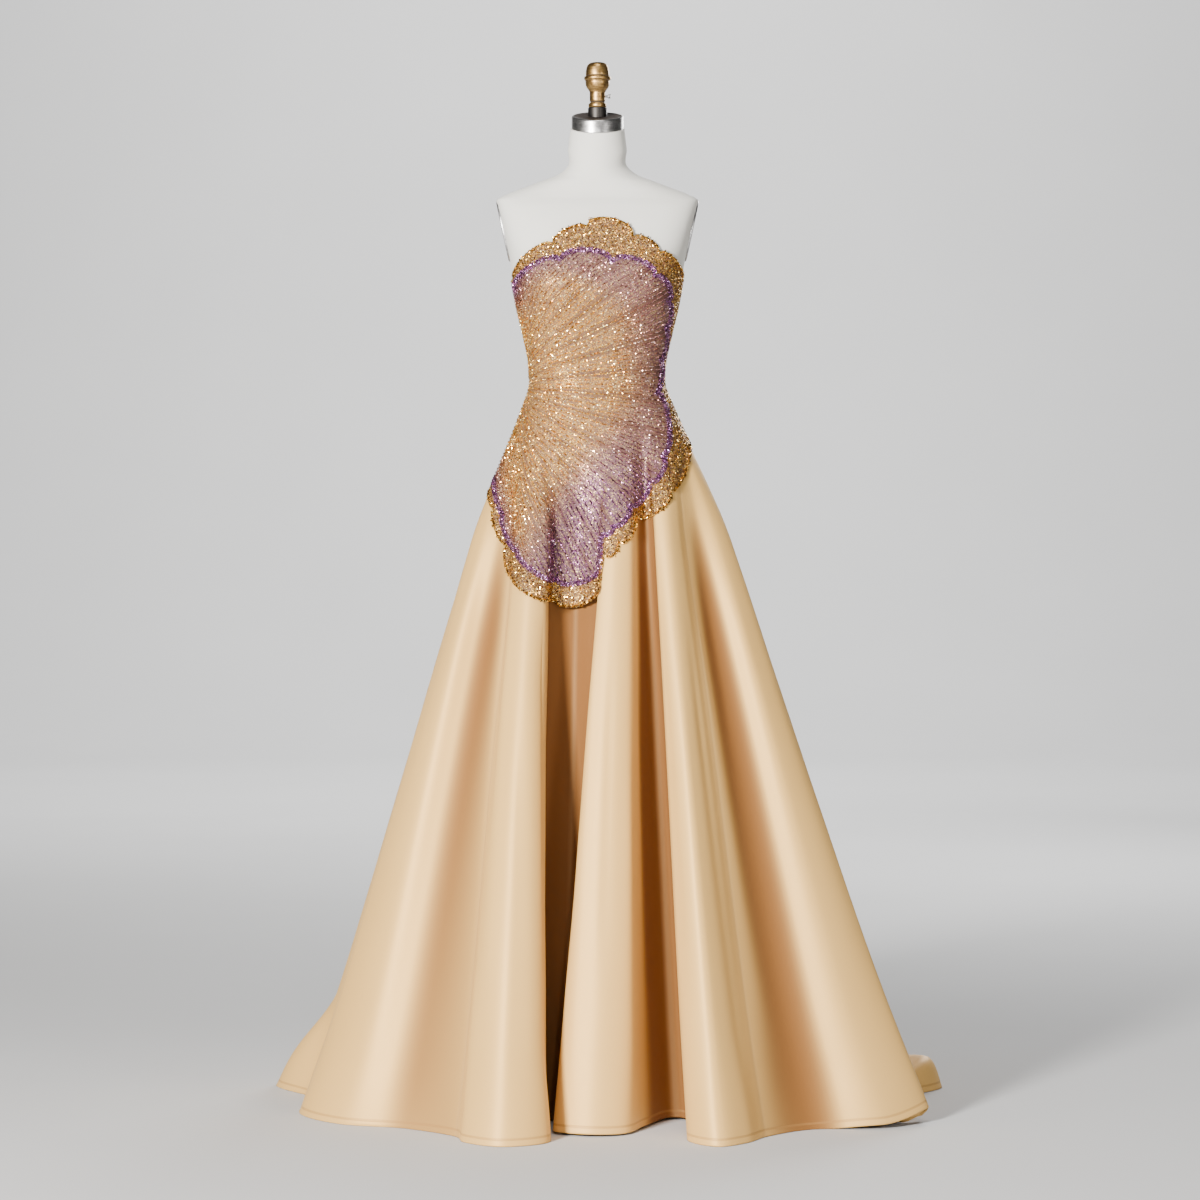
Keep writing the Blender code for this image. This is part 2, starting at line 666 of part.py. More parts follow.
def turned(name, profile, sides, centre, finish, bottom_lean=0.0):
    """A turned solid from (height, radius) rows. Bottom lean tilts its lowest ring."""
    points = []
    for i, (height, radius) in enumerate(profile):
        for k in range(sides):
            angle = 2 * math.pi * k / sides
            x, y = radius * math.cos(angle), radius * math.sin(angle)
            rise = bottom_lean * (y + centre[1]) if i == 0 else 0.0
            points.append((centre[0] + x, centre[1] + y, centre[2] + height + rise))
    return add_object(name, mesh_from(name, points, ring_faces(len(profile), sides)), finish)


def tilted_ellipse(name, half_width, half_length, thickness, side, finish):
    """An arm plate, which faces sideways and leans in at its lower end."""
    sides = 32
    edge = 0.0025
    tilt = math.radians(PLATE_TILT)
    layers = ((-thickness / 2, 1.0), (thickness / 2 - edge, 1.0), (thickness / 2, 0.94))
    points = []
    for out, share in layers:
        for k in range(sides):
            angle = 2 * math.pi * k / sides
            y = share * half_width * math.cos(angle)
            up = share * half_length * math.sin(angle)
            x = PLATE_CENTRE[0] + out * math.cos(tilt) + up * math.sin(tilt)
            z = PLATE_CENTRE[2] - out * math.sin(tilt) + up * math.cos(tilt)
            points.append((side * x, PLATE_CENTRE[1] + y, z))
    mesh = mesh_from(name, points, ring_faces(len(layers), sides))
    shape = bmesh.new()
    shape.from_mesh(mesh)
    bmesh.ops.recalc_face_normals(shape, faces=shape.faces)
    shape.to_mesh(mesh)
    shape.free()
    return add_object(name, mesh, finish)


def build_arm_plates(torso, finish):
    """Two plates, each in a recess of the torso that is one seam gap larger all round."""
    grow = SEAM_GAP
    for side, name in ((-1, "arm_plate_left"), (1, "arm_plate_right")):
        tilted_ellipse(
            name, PLATE_HALF_WIDTH, PLATE_HALF_LENGTH, PLATE_THICKNESS, side, finish
        )
        recess = tilted_ellipse(
            name + "_recess",
            PLATE_HALF_WIDTH + grow,
            PLATE_HALF_LENGTH + grow,
            PLATE_THICKNESS + 2 * grow,
            side,
            finish,
        )
        recess.hide_render = True
        recess.display_type = "WIRE"
        cut = torso.modifiers.new("Recess", "BOOLEAN")
        cut.operation = "DIFFERENCE"
        cut.solver = "EXACT"
        cut.object = recess


def build_form(cover, steel, brass, iron):
    heights = [row[0] for row in FORM_SECTIONS]
    points = []
    for height in heights:
        for k in range(FORM_SIDES):
            points.append(body_point(360.0 * k / FORM_SIDES, height))
    mesh = mesh_from("form_torso", points, ring_faces(len(heights), FORM_SIDES))
    torso = add_object("form_torso", mesh, cover)
    build_arm_plates(torso, steel)
    build_neck_cap(heights[-1], steel)
    cap_top = heights[-1] + SEAM_GAP + CAP_HEIGHT
    turned(
        "finial_collar",
        ((cap_top + SEAM_GAP, COLLAR_RADIUS), (FINIAL_BOTTOM - SEAM_GAP, COLLAR_RADIUS)),
        20,
        (0.0, 0.0, 0.0),
        iron,
        bottom_lean=NECK_LEAN,
    )
    finial = turned("finial", FINIAL_PROFILE, 18, (0.0, 0.0, FINIAL_BOTTOM), brass)
    build_screw(finial, steel)
    base_top = BASE_PROFILE[-1][0]
    base = [(height, BASE_RADIUS * share) for height, share in BASE_PROFILE]
    turned("stand_base", base, 36, (0.0, 0.0, 0.0), iron)
    pole = ((base_top + SEAM_GAP, POLE_RADIUS), (heights[0] - SEAM_GAP, POLE_RADIUS))
    turned("stand_pole", pole, 20, (0.0, 0.0, 0.0), steel)


def build_neck_cap(neck_top, finish):
    """A round metal cap that leans forward with the neck."""
    sides = 32
    layers = ((0.0, 1.0), (CAP_HEIGHT - CAP_EDGE, 1.0), (CAP_HEIGHT, 0.93))
    points = []
    for up, share in layers:
        for k in range(sides):
            angle = 2 * math.pi * k / sides
            x = share * CAP_RADIUS * math.cos(angle)
            y = share * CAP_RADIUS * math.sin(angle)
            points.append((x, y, neck_top + SEAM_GAP + up + NECK_LEAN * y))
    add_object("neck_cap", mesh_from("neck_cap", points, ring_faces(3, sides)), finish)


def build_screw(finial, finish):
    """A small thumb screw in the finial's stem, on the +X side, with a recess round it."""
    for name, grow in (("thumb_screw", 0.0), ("thumb_screw_recess", SEAM_GAP)):
        head = SCREW_HEAD_RADIUS + grow
        profile = (
            (0.0060 - grow, SCREW_RADIUS + grow),
            (0.0188, SCREW_RADIUS + grow),
            (0.0193, head),
            (SCREW_REACH, head),
        )
        sides = 16
        points = []
        for reach, radius in profile:
            for k in range(sides):
                angle = 2 * math.pi * k / sides
                y, z = radius * math.cos(angle), radius * math.sin(angle)
                points.append((reach, y, SCREW_HEIGHT + z))
        screw = add_object(name, mesh_from(name, points, ring_faces(4, sides)), finish)
        if grow:
            screw.hide_render = True
            screw.display_type = "WIRE"
            cut = finial.modifiers.new("Screw hole", "BOOLEAN")
            cut.operation = "DIFFERENCE"
            cut.solver = "EXACT"
            cut.object = screw


def main():
    for obj in list(bpy.data.objects):
        bpy.data.objects.remove(obj)
    satin = material("champagne_satin", (0.72, 0.52, 0.30), 0.38, 0.0)
    lilac = material("lilac_beading", (0.42, 0.28, 0.42), 0.35, 0.3)
    gold = material("gold_beading", (0.62, 0.40, 0.16), 0.32, 0.5)
    cover = material("form_linen", (0.78, 0.76, 0.71), 0.85, 0.0)
    steel = material("brushed_steel", (0.55, 0.54, 0.52), 0.32, 1.0)
    brass = material("aged_brass", (0.52, 0.36, 0.17), 0.36, 1.0)
    iron = material("dark_iron", (0.06, 0.055, 0.05), 0.5, 0.6)
    skirt = Skirt()
    build_form(cover, steel, brass, iron)
    build_gores(skirt, satin)
    build_bodice(skirt, lilac, gold)


main()
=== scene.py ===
# %% [markdown]
# # A strapless evening gown on its dress form
#
# The gown has a heavy satin skirt with deep folds and a short train, and a beaded bodice that
# runs down over the hip. The skirt stays where its flare and folds put it, so it is built from
# curves rather than dropped by a simulation: the same few numbers then give the same cloth in
# every run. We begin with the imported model, whose solids say where everything goes.

import math

import bmesh
import bpy
import numpy as np
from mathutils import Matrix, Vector
from mathutils.bvhtree import BVHTree
from mathutils.kdtree import KDTree


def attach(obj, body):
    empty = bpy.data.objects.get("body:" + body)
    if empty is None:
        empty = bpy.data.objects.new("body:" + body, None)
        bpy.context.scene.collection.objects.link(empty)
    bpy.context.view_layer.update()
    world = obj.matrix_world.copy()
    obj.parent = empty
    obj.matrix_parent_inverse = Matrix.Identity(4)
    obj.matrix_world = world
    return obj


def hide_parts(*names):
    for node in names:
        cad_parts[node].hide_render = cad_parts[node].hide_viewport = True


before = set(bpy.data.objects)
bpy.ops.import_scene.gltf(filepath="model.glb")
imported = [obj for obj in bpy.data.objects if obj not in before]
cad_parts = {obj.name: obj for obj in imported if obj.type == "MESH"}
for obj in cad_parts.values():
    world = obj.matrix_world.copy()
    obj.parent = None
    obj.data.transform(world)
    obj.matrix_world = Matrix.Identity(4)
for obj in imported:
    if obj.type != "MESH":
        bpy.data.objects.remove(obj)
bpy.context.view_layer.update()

# %% [markdown]
# ## Camera, floor and light
#
# The picture is taken from far away with a long lens, level, at about hip height. A long lens
# keeps the verticals parallel. The lens is shifted a little, so that the level camera still
# takes in the hem. One lamp at the front left does most of the work: it makes the folds' left
# flanks bright and lets the right ones fall off, which is what satin needs. The others only
# lift the shadows, and a small one beside the camera makes the beads flash.

# %% Camera
CAMERA_PLACE = (0.0045, -6.5, 1.05)
LENS_MM = 108.33
SENSOR_MM = 36.0
PICTURE_PIXELS = 1200
PIXELS_DOWN = 85


def show(name, data):
    """Puts a mesh, a lamp or a camera into the scene as an object."""
    placed = bpy.data.objects.new(name, data)
    bpy.context.scene.collection.objects.link(placed)
    return placed


camera_data = bpy.data.cameras.new("camera")
camera_data.lens = LENS_MM
camera_data.sensor_width = SENSOR_MM
camera_data.shift_y = -PIXELS_DOWN / PICTURE_PIXELS
camera = show("camera", camera_data)
camera.location = CAMERA_PLACE
camera.rotation_euler = (math.radians(90), 0, 0)
bpy.context.scene.camera = camera
print("camera:", LENS_MM, "mm lens,", -CAMERA_PLACE[1], "m from the form")

# %% Lamps
WARM = (1.0, 0.98, 0.95)
WHITE = (1.0, 1.0, 1.0)
WORLD_STRENGTH = 0.08
# name, place, the point that it faces, side in m, watts, colour
LAMPS = (
    ("key", (-2.8, -5.1, 2.3), (0.0, 0.0, 0.70), 0.9, 1050, WARM),
    ("fill", (3.3, -4.3, 1.5), (0.1, 0.0, 0.8), 1.2, 80, WARM),
    ("back_fill", (2.0, 4.4, 3.0), (0.0, 0.0, 0.7), 2.0, 200, WHITE),
    ("glint", (0.5, -5.7, 1.7), (0.0, 0.0, 1.3), 0.12, 45, WHITE),
    ("top", (0.0, -1.2, 4.2), (0.0, 0.0, 1.4), 1.2, 45, WHITE),
    ("backdrop", (0.0, 6.6, 5.4), (0.0, 11.0, 0.8), 4.0, 900, WHITE),
)
for name, place, target, side, watts, colour in LAMPS:
    lamp_data = bpy.data.lights.new(name, "AREA")
    lamp_data.size = side
    lamp_data.energy = watts
    lamp_data.color = colour
    lamp = show(name, lamp_data)
    lamp.location = place
    lamp.rotation_euler = (Vector(target) - Vector(place)).to_track_quat("-Z", "Y").to_euler()
world = bpy.data.worlds.new("studio")
world.use_nodes = True
sky = world.node_tree.nodes["Background"]
sky.inputs["Color"].default_value = (*WHITE, 1.0)
sky.inputs["Strength"].default_value = WORLD_STRENGTH
bpy.context.scene.world = world
print("lamps:", len(LAMPS))

# %% [markdown]
# ## The body under the gown
#
# A dress form is a moulded body covered in cotton. It is described by its cross-sections from
# the hips to the neck, each a rounded box between an ellipse and a square. A smooth curve
# through the sections gives a ring at any height, so the body can be read as finely as needed.
# The gown is read from the same body, which keeps the cloth off it everywhere.

# %% Sizes of the body
WAIST_HEIGHT = 1.279
SEAM_GAP = 0.0003
SATIN_WALL = 0.0016
LAYER_GAP = 0.0009
BODY_EASE = 0.0012
BUST_HEIGHT = 1.455
BUST_RISE = 0.010
BUST_BEARING = 36.0
BUST_HALF_WIDTH = 20.0
BUST_HALF_HEIGHT = 0.048

# height, half width, front depth, back depth, squareness, lean
FORM_SECTIONS = (
    (0.930, 0.120, 0.082, 0.092, 2.2, 0.0),
    (0.945, 0.140, 0.096, 0.108, 2.2, 0.0),
    (1.010, 0.155, 0.102, 0.122, 2.2, 0.0),
    (1.090, 0.156, 0.100, 0.124, 2.2, 0.0),
    (1.180, 0.140, 0.094, 0.110, 2.2, 0.0),
    (1.240, 0.123, 0.090, 0.092, 2.2, 0.0),
    (1.279, 0.1175, 0.090, 0.082, 2.3, 0.0),
    (1.325, 0.1205, 0.096, 0.080, 2.4, 0.0),
    (1.375, 0.1315, 0.106, 0.084, 2.4, 0.0),
    (1.425, 0.1435, 0.119, 0.090, 2.4, 0.0),
    (1.460, 0.1500, 0.124, 0.094, 2.4, 0.0),
    (1.495, 0.1550, 0.117, 0.096, 2.6, 0.0),
    (1.535, 0.1630, 0.100, 0.096, 3.0, 0.0),
    (1.580, 0.1730, 0.080, 0.092, 3.2, 0.0),
    (1.606, 0.1790, 0.066, 0.087, 3.0, 0.0),
    (1.617, 0.1805, 0.058, 0.081, 2.7, 0.0),
    (1.628, 0.1600, 0.053, 0.077, 2.4, 0.0),
    (1.640, 0.1290, 0.051, 0.073, 2.2, 0.03),
    (1.651, 0.1010, 0.050, 0.069, 2.1, 0.07),
    (1.661, 0.0740, 0.050, 0.062, 2.0, 0.12),
    (1.672, 0.0585, 0.050, 0.056, 2.0, 0.17),
    (1.710, 0.0528, 0.050, 0.050, 2.0, 0.24),
    (1.7453, 0.0485, 0.050, 0.046, 2.0, 0.27),
)


# %% Read a table on a smooth curve
def read_rows(table, values):
    """The table's rows at many values of its first column, on a smooth curve through them."""
    rows = np.array(table)
    keys = rows[:, 0]
    slopes = np.gradient(rows, keys, axis=0)
    values = np.asarray(values, float)
    i = np.clip(np.searchsorted(keys, values) - 1, 0, len(keys) - 2)
    span = (keys[i + 1] - keys[i])[..., None]
    t = np.clip((values[..., None] - keys[i][..., None]) / span, 0.0, 1.0)
    start = (2 * t**3 - 3 * t**2 + 1) * rows[i] + (t**3 - 2 * t**2 + t) * span * slopes[i]
    end = (3 * t**2 - 2 * t**3) * rows[i + 1] + (t**3 - t**2) * span * slopes[i + 1]
    return start + end


def smooth_step(value, low, high):
    t = np.clip((value - low) / (high - low), 0.0, 1.0)
    return t * t * (3 - 2 * t)


# %% Points on the body
def body_points(bearings, heights, out=0.0):
    """Points on the body at bearings in degrees, 0 in front and 90 on the +X side."""
    bearings, heights, out = np.broadcast_arrays(bearings, heights, out)
    rows = read_rows(FORM_SECTIONS, heights)
    half_width, front, back, squareness, lean = np.moveaxis(rows[..., 1:], -1, 0)
    side, ahead = np.sin(np.radians(bearings)), np.cos(np.radians(bearings))
    power = 2.0 / squareness
    depth = np.where(ahead > 0, front, back)
    x = np.sign(side) * (half_width + out) * np.abs(side) ** power
    y = -np.sign(ahead) * (depth + out) * np.abs(ahead) ** power
    wrapped = (bearings + 180.0) % 360.0 - 180.0
    bust = np.exp(-(((np.abs(wrapped) - BUST_BEARING) / BUST_HALF_WIDTH) ** 2))
    bust *= np.exp(-(((heights - BUST_HEIGHT) / BUST_HALF_HEIGHT) ** 2))
    y = y - BUST_RISE * bust
    return np.stack([x, y, heights + lean * y], axis=-1)


print("waist width:", round(2 * float(body_points(90.0, WAIST_HEIGHT)[0]), 4), "m")

# %% [markdown]
# ## The skirt's curve
#
# A skirt cut in gores hangs from the waist in folds that grow towards the hem. Each named fold
# below says where it starts at the waist and where it meets the floor, so a row of the table is
# one crest or trough. A curve through the rows gives the hem, the waist gives the top, and the
# flare says how fast the cloth runs from one to the other. Behind, the cloth is longer than the
# drop: it bends on a soft curve and trails on the floor.

# %% Flare and folds
FLARE = (
    (0.000, 0.000),
    (0.0735, 0.105),
    (0.116, 0.160),
    (0.158, 0.206),
    (0.242, 0.286),
    (0.327, 0.365),
    (0.457, 0.486),
    (0.591, 0.607),
    (0.726, 0.727),
    (0.862, 0.853),
    (1.000, 1.000),
)
# name, bearing at the waist, x and y at the floor, lift, trail, bend, roll; closing zeros left out
SKIRT_FOLDS = (
    ("back_crest", -180, 0.000, 0.600, 0.012, 0.300, 0.16, 0.032),
    ("back_left_trough", -165, -0.130, 0.480, 0.0, 0.400, 0.16),
    ("back_left_crest", -151, -0.270, 0.545, 0.014, 0.310, 0.16, 0.032),
    ("rear_left_trough", -139, -0.345, 0.400, 0.0, 0.330, 0.16),
    ("rear_left_crest", -127, -0.445, 0.425, 0.008, 0.165, 0.15, 0.020),
    ("side_left_trough", -116, -0.478, 0.275, 0.0, 0.105, 0.12),
    ("train_left_crest", -107, -0.541, 0.145, 0.0, 0.053, 0.18, 0.034),
    ("left_tuck", -99, -0.500, -0.005, 0.0, 0.012, 0.05),
    ("left_edge", -91, -0.523, -0.165),
    ("left_panel_crest", -86, -0.446, -0.278),
    ("left_panel_trough", -80, -0.330, -0.326),
    ("left_panel_end", -74, -0.239, -0.404),
    ("first_fold_left", -69, -0.224, -0.456),
    ("first_fold_crest", -60, -0.160, -0.501),
    ("first_fold_right", -50, -0.084, -0.464),
    ("deep_valley_left", -44, -0.082, -0.385),
    ("deep_valley_corner", -32, -0.102, -0.285),
    ("deep_valley_floor", -12, -0.058, -0.236, 0.004),
    ("deep_valley_right", 6, -0.038, -0.300, 0.004),
    ("front_fold_left", 16, -0.076, -0.368, 0.004),
    ("front_fold_crest", 21, -0.014, -0.404, 0.004),
    ("front_fold_right", 27, 0.047, -0.388, 0.003),
    ("second_valley_left", 30, 0.082, -0.318, 0.004),
    ("second_valley_floor", 33, 0.134, -0.236, 0.005),
    ("second_valley_right", 37, 0.162, -0.290, 0.002),
    ("third_fold_left", 42, 0.154, -0.450),
    ("third_fold_crest", 51, 0.202, -0.500),
    ("third_fold_right", 59, 0.252, -0.462),
    ("right_panel_start", 64, 0.285, -0.405),
    ("right_panel_trough", 72, 0.370, -0.335),
    ("right_panel_crest", 79, 0.488, -0.328, 0.008),
    ("right_corner", 85, 0.574, -0.252, 0.026),
    ("right_tuck_edge", 87, 0.563, -0.234, 0.008),
    ("right_tuck_front", 90, 0.528, -0.258),
    ("right_tuck", 94, 0.512, -0.140),
    ("right_return", 99, 0.545, 0.010, 0.0, 0.010, 0.03),
    ("train_right_curl", 107, 0.582, 0.125, 0.0, 0.052, 0.05, 0.045),
    ("side_right_trough", 116, 0.492, 0.275, 0.0, 0.105, 0.12),
    ("rear_right_crest", 127, 0.458, 0.425, 0.010, 0.160, 0.15, 0.022),
    ("rear_right_trough", 139, 0.355, 0.405, 0.0, 0.325, 0.16),
    ("back_right_crest", 151, 0.270, 0.550, 0.012, 0.305, 0.16, 0.034),
    ("back_right_trough", 165, 0.130, 0.485, 0.0, 0.395, 0.16),
)
FOLD_NAMES = [name for name, *_ in SKIRT_FOLDS]
HIP_END = 0.86
FOLD_FULL = 0.22
BASE_SPREAD = 22.0
LIFT_START = 0.40
TRAIN_REACH = 0.16
TRAIN_FROM = 0.001
ROLL_OUTWARDS = 0.35
ROLL_LEAN = 1.1
HEM_CROWDING = 1.25
FRONT_BEARING = 95


# %% The hem in plan
def centripetal(p0, p1, p2, p3, share):
    """A point between p1 and p2 on a curve that never loops back on itself."""
    k0 = 0.0
    k1 = k0 + math.sqrt(np.linalg.norm(p1 - p0))
    k2 = k1 + math.sqrt(np.linalg.norm(p2 - p1))
    k3 = k2 + math.sqrt(np.linalg.norm(p3 - p2))
    k = k1 + (k2 - k1) * share
    a1 = (k1 - k) / (k1 - k0) * p0 + (k - k0) / (k1 - k0) * p1
    a2 = (k2 - k) / (k2 - k1) * p1 + (k - k1) / (k2 - k1) * p2
    a3 = (k3 - k) / (k3 - k2) * p2 + (k - k2) / (k3 - k2) * p3
    b1 = (k2 - k) / (k2 - k0) * a1 + (k - k0) / (k2 - k0) * a2
    b2 = (k3 - k) / (k3 - k1) * a2 + (k - k1) / (k3 - k1) * a3
    return (k2 - k) / (k2 - k1) * b1 + (k - k1) / (k2 - k1) * b2


def hem_samples(front_step, back_step, widest_step):
    """The hem as rows (bearing, x, y, lift, trail, bend, roll, place along the folds)."""
    rows = np.array([(*row, 0.0, 0.0, 0.0, 0.0)[:7] for _, *row in SKIRT_FOLDS])
    count = len(rows)
    samples, starts = [], {}
    for i, name in enumerate(FOLD_NAMES):
        around = [rows[(i + k) % count] for k in (-1, 0, 1, 2)]
        plan = [row[1:3] for row in around]
        turn = 360.0 if i == count - 1 else 0.0
        step_length = front_step if abs(around[1][0]) < FRONT_BEARING else back_step
        turned_by = around[2][0] + turn - around[1][0]
        steps = round(np.linalg.norm(plan[2] - plan[1]) / step_length)
        steps = max(1, steps, math.ceil(turned_by / widest_step))
        starts[name] = len(samples)
        for step in range(steps):
            share = step / steps
            x, y = centripetal(*plan, share)
            ease = share * share * (3 - 2 * share)
            waist = (1 - share) * around[1][0] + share * (around[2][0] + turn)
            rest = (1 - ease) * around[1][3:] + ease * around[2][3:]
            samples.append((waist, x, y, *rest, i + share))
    return np.array(samples), starts


# %% The hem without its folds
def base_curve(samples):
    """A bell-shaped average over the waist bearings, which smooths the folds away."""
    bearings = np.radians(samples[:, 0])
    widths = (np.roll(bearings, -1) - np.roll(bearings, 1)) % (2 * math.pi) / 2
    apart = bearings[:, None] - bearings[None, :]
    apart = (apart + math.pi) % (2 * math.pi) - math.pi
    spread = math.radians(BASE_SPREAD)
    weights = np.exp(-0.5 * (apart / spread) ** 2) * widths[None, :]
    weights /= weights.sum(axis=1, keepdims=True)
    plan = samples[:, 1:3]
    middle = (plan * widths[:, None]).sum(axis=0) / widths.sum()
    return middle + (weights @ plan - middle) / math.exp(-0.5 * spread**2)


# %% [markdown]
# The skirt is kept as a rule rather than a mesh: give it some columns and how far down the cloth
# they are, and it returns points. The skirt's cloth, the beaded panel that lies on it and every
# bead can then be read from the same surface, and a layer is only an offset along its normals.

# %% The skirt as a rule
class Skirt:
    """The skirt's outer surface, a column for each sample of the hem."""

    def __init__(self, front_step, back_step, widest_step):
        self.samples, self.starts = hem_samples(front_step, back_step, widest_step)
        self.base = base_curve(self.samples)
        out = SATIN_WALL + BODY_EASE
        self.waist = body_points(self.samples[:, 0], WAIST_HEIGHT, out)[:, :2]

    def columns(self, first, last):
        """Columns from one named fold to another, round past the back if need be."""
        start, end = self.starts[first], self.starts[last]
        count = len(self.samples)
        if end <= start:
            end += count
        return np.arange(start, end + 1)

    def hanging(self, columns, share, lift=0.0):
        """Points a share of the way down to the floor; share has a row for each level."""
        columns = np.asarray(columns) % len(self.samples)
        share = np.broadcast_to(share, np.broadcast_shapes(np.shape(share), columns.shape))
        flare = read_rows(FLARE, share)[..., 1:]
        folds = smooth_step(share, 0.0, FOLD_FULL)[..., None] * flare
        waist, base = self.waist[columns], self.base[columns]
        plan = waist + flare * (base - waist) + folds * (self.samples[columns, 1:3] - base)
        height = WAIST_HEIGHT * (1 - share) + lift * smooth_step(share, LIFT_START, 1.0)
        return np.concatenate([plan, height[..., None]], axis=-1)

    def cloth(self, columns, place):
        """Points along the cloth, place 1 where a column would reach the floor."""
        columns = np.asarray(columns) % len(self.samples)
        lift, trail, bend, roll = self.samples[columns, 3:7].T
        lies = trail > TRAIN_FROM
        foot = self.hanging(columns, 1.0)
        drop = np.linalg.norm(foot - self.hanging(columns, 0.0), axis=-1)
        reach = np.minimum(TRAIN_REACH, trail)
        out = np.zeros_like(foot)
        out[:, :2] = foot[:, :2] - self.waist[columns]
        out /= np.linalg.norm(out, axis=-1, keepdims=True)
        hang = self.hanging(columns, np.minimum(place, 1.0), np.where(lies, 0.0, lift))
        past = place * drop - (drop - bend)
        t = np.clip(past / np.maximum(bend + reach, 1e-6), 0.0, 1.0)[..., None]
        start = self.hanging(columns, (drop - bend) / drop)
        tip = foot + reach[:, None] * out
        curve = (1 - t) ** 2 * start + 2 * t * (1 - t) * foot + t * t * tip
        curve = curve + np.maximum(0.0, past - bend - reach)[..., None] * out
        run = np.clip(past / np.maximum(bend + trail, 1e-6), 0.0, 1.0)
        bulge = roll * np.sin(math.pi * run**ROLL_LEAN)
        curve = curve + ROLL_OUTWARDS * bulge[..., None] * out
        curve[..., 2] += bulge + lift * run**3
        return np.where((lies & (past > 0))[..., None], curve, hang)

    def end_of(self, columns):
        """The place of the cloth's lower edge in each column."""
        columns = np.asarray(columns) % len(self.samples)
        foot = self.hanging(columns, 1.0)
        drop = np.linalg.norm(foot - self.hanging(columns, 0.0), axis=-1)
        return 1.0 + self.samples[columns, 4] / drop

    def grid(self, columns, upper_rows, lower_rows):
        """Rows of points from the waist to the hem, and how far down the cloth they are."""
        upper = (WAIST_HEIGHT - np.linspace(WAIST_HEIGHT, HIP_END, upper_rows)) / WAIST_HEIGHT
        top = self.hanging(columns, upper[:, None])
        share = np.linspace(0.0, 1.0, lower_rows + 1)[1:]
        share = (1 - (1 - share) ** HEM_CROWDING)[:, None]
        place = upper[-1] + share * (self.end_of(columns) - upper[-1])[None, :]
        return np.concatenate([top, self.cloth(columns, place)])


# %% Grids of points become closed cloth
def grid_normals(grid):
    """Outward normals of a grid, rows running down and columns counterclockwise."""
    normals = np.cross(np.gradient(grid, axis=0), np.gradient(grid, axis=1))
    return normals / np.linalg.norm(normals, axis=2, keepdims=True)


def quads_of(rows, columns):
    """Corner numbers of a grid's faces, turned to face outwards."""
    r, c = np.meshgrid(np.arange(rows - 1), np.arange(columns - 1), indexing="ij")
    at = (r * columns + c).ravel()
    return np.stack([at, at + columns, at + columns + 1, at + 1], axis=1)


def shell_faces(rows, columns):
    """Faces of a closed wall: an outer grid, an inner grid and the rim between them."""
    half = rows * columns
    outer = quads_of(rows, columns)
    inner = outer[:, ::-1] + half
    top = np.arange(columns)
    bottom = top + (rows - 1) * columns
    left = np.arange(rows) * columns
    right = left + columns - 1
    rims = []
    for line, flipped in ((top, False), (bottom, True), (left, True), (right, False)):
        a, b = line[:-1], line[1:]
        rim = np.stack([a, b, b + half, a + half], axis=1)
        rims.append(rim[:, ::-1] if flipped else rim)
    return np.concatenate([outer, inner, *rims])


# %% Meshes and pieces
def add_mesh(name, points, faces):
    """A smooth-shaded object from arrays of points and of faces with equal corner counts."""
    mesh = bpy.data.meshes.new(name)
    points = np.asarray(points, float).reshape(-1, 3)
    faces = np.asarray(faces)
    sides = faces.shape[1]
    mesh.vertices.add(len(points))
    mesh.vertices.foreach_set("co", points.ravel())
    mesh.loops.add(faces.size)
    mesh.loops.foreach_set("vertex_index", faces.ravel().astype(np.int32))
    mesh.polygons.add(len(faces))
    mesh.polygons.foreach_set("loop_start", np.arange(0, faces.size, sides, dtype=np.int32))
    mesh.update(calc_edges=True)
    mesh.shade_smooth()
    return show(name, mesh)


def add_shell(name, outer, inner):
    """A closed wall between two grids of points."""
    points = np.concatenate([outer.reshape(-1, 3), inner.reshape(-1, 3)])
    return add_mesh(name, points, shell_faces(*outer.shape[:2]))


def evaluated(piece):
    """A plain mesh of a piece with its modifiers carried out."""
    bpy.context.view_layer.update()
    graph = bpy.context.evaluated_depsgraph_get()
    return bpy.data.meshes.new_from_object(piece.evaluated_get(graph))


def add_value(piece, name, values=0.0):
    """A number for each point of a piece, or one for all, which its material can read."""
    layer = piece.data.attributes.new(name, "FLOAT", "POINT")
    values = np.broadcast_to(np.ravel(values), len(piece.data.vertices))
    layer.data.foreach_set("value", values.astype(np.float32))


def finish_piece(piece, finish, nodes):
    """Dresses a piece, fixes it to the body and hides the solids that it stands for."""
    piece.data.materials.clear()
    piece.data.materials.append(finish)
    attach(piece, "root")
    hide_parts(*nodes)
    triangles = sum(len(face.vertices) - 2 for face in piece.data.polygons)
    print(piece.name, "triangles:", triangles)


# %% [markdown]
# ## Mixing finishes
#
# A finish is a small graph of nodes. Written one node at a time it is hard to read, so a socket
# is wrapped in a class that takes part in ordinary sums: `mask * 0.3 + 0.1` adds the Math nodes
# by itself. One method makes every other node from its type, its settings and its inputs.

# %% Sums on sockets
class Amount:
    """A number that varies over a surface, such as a mask, as the output of some node."""

    def __init__(self, owner, socket):
        self.owner, self.socket = owner, socket

    def beside(self, output):
        """Another output of the same node."""
        return Amount(self.owner, self.socket.node.outputs[output])

    def sum_node(self, operation, first, second):
        return self.owner.node("ShaderNodeMath", {"operation": operation}, {0: first, 1: second})

    def __add__(self, other):
        return self.sum_node("ADD", self, other)

    __radd__ = __add__

    def __sub__(self, other):
        return self.sum_node("SUBTRACT", self, other)

    def __rsub__(self, other):
        return self.sum_node("SUBTRACT", other, self)

    def __mul__(self, other):
        return self.sum_node("MULTIPLY", self, other)

    __rmul__ = __mul__

    def __pow__(self, other):
        return self.sum_node("POWER", self, other)


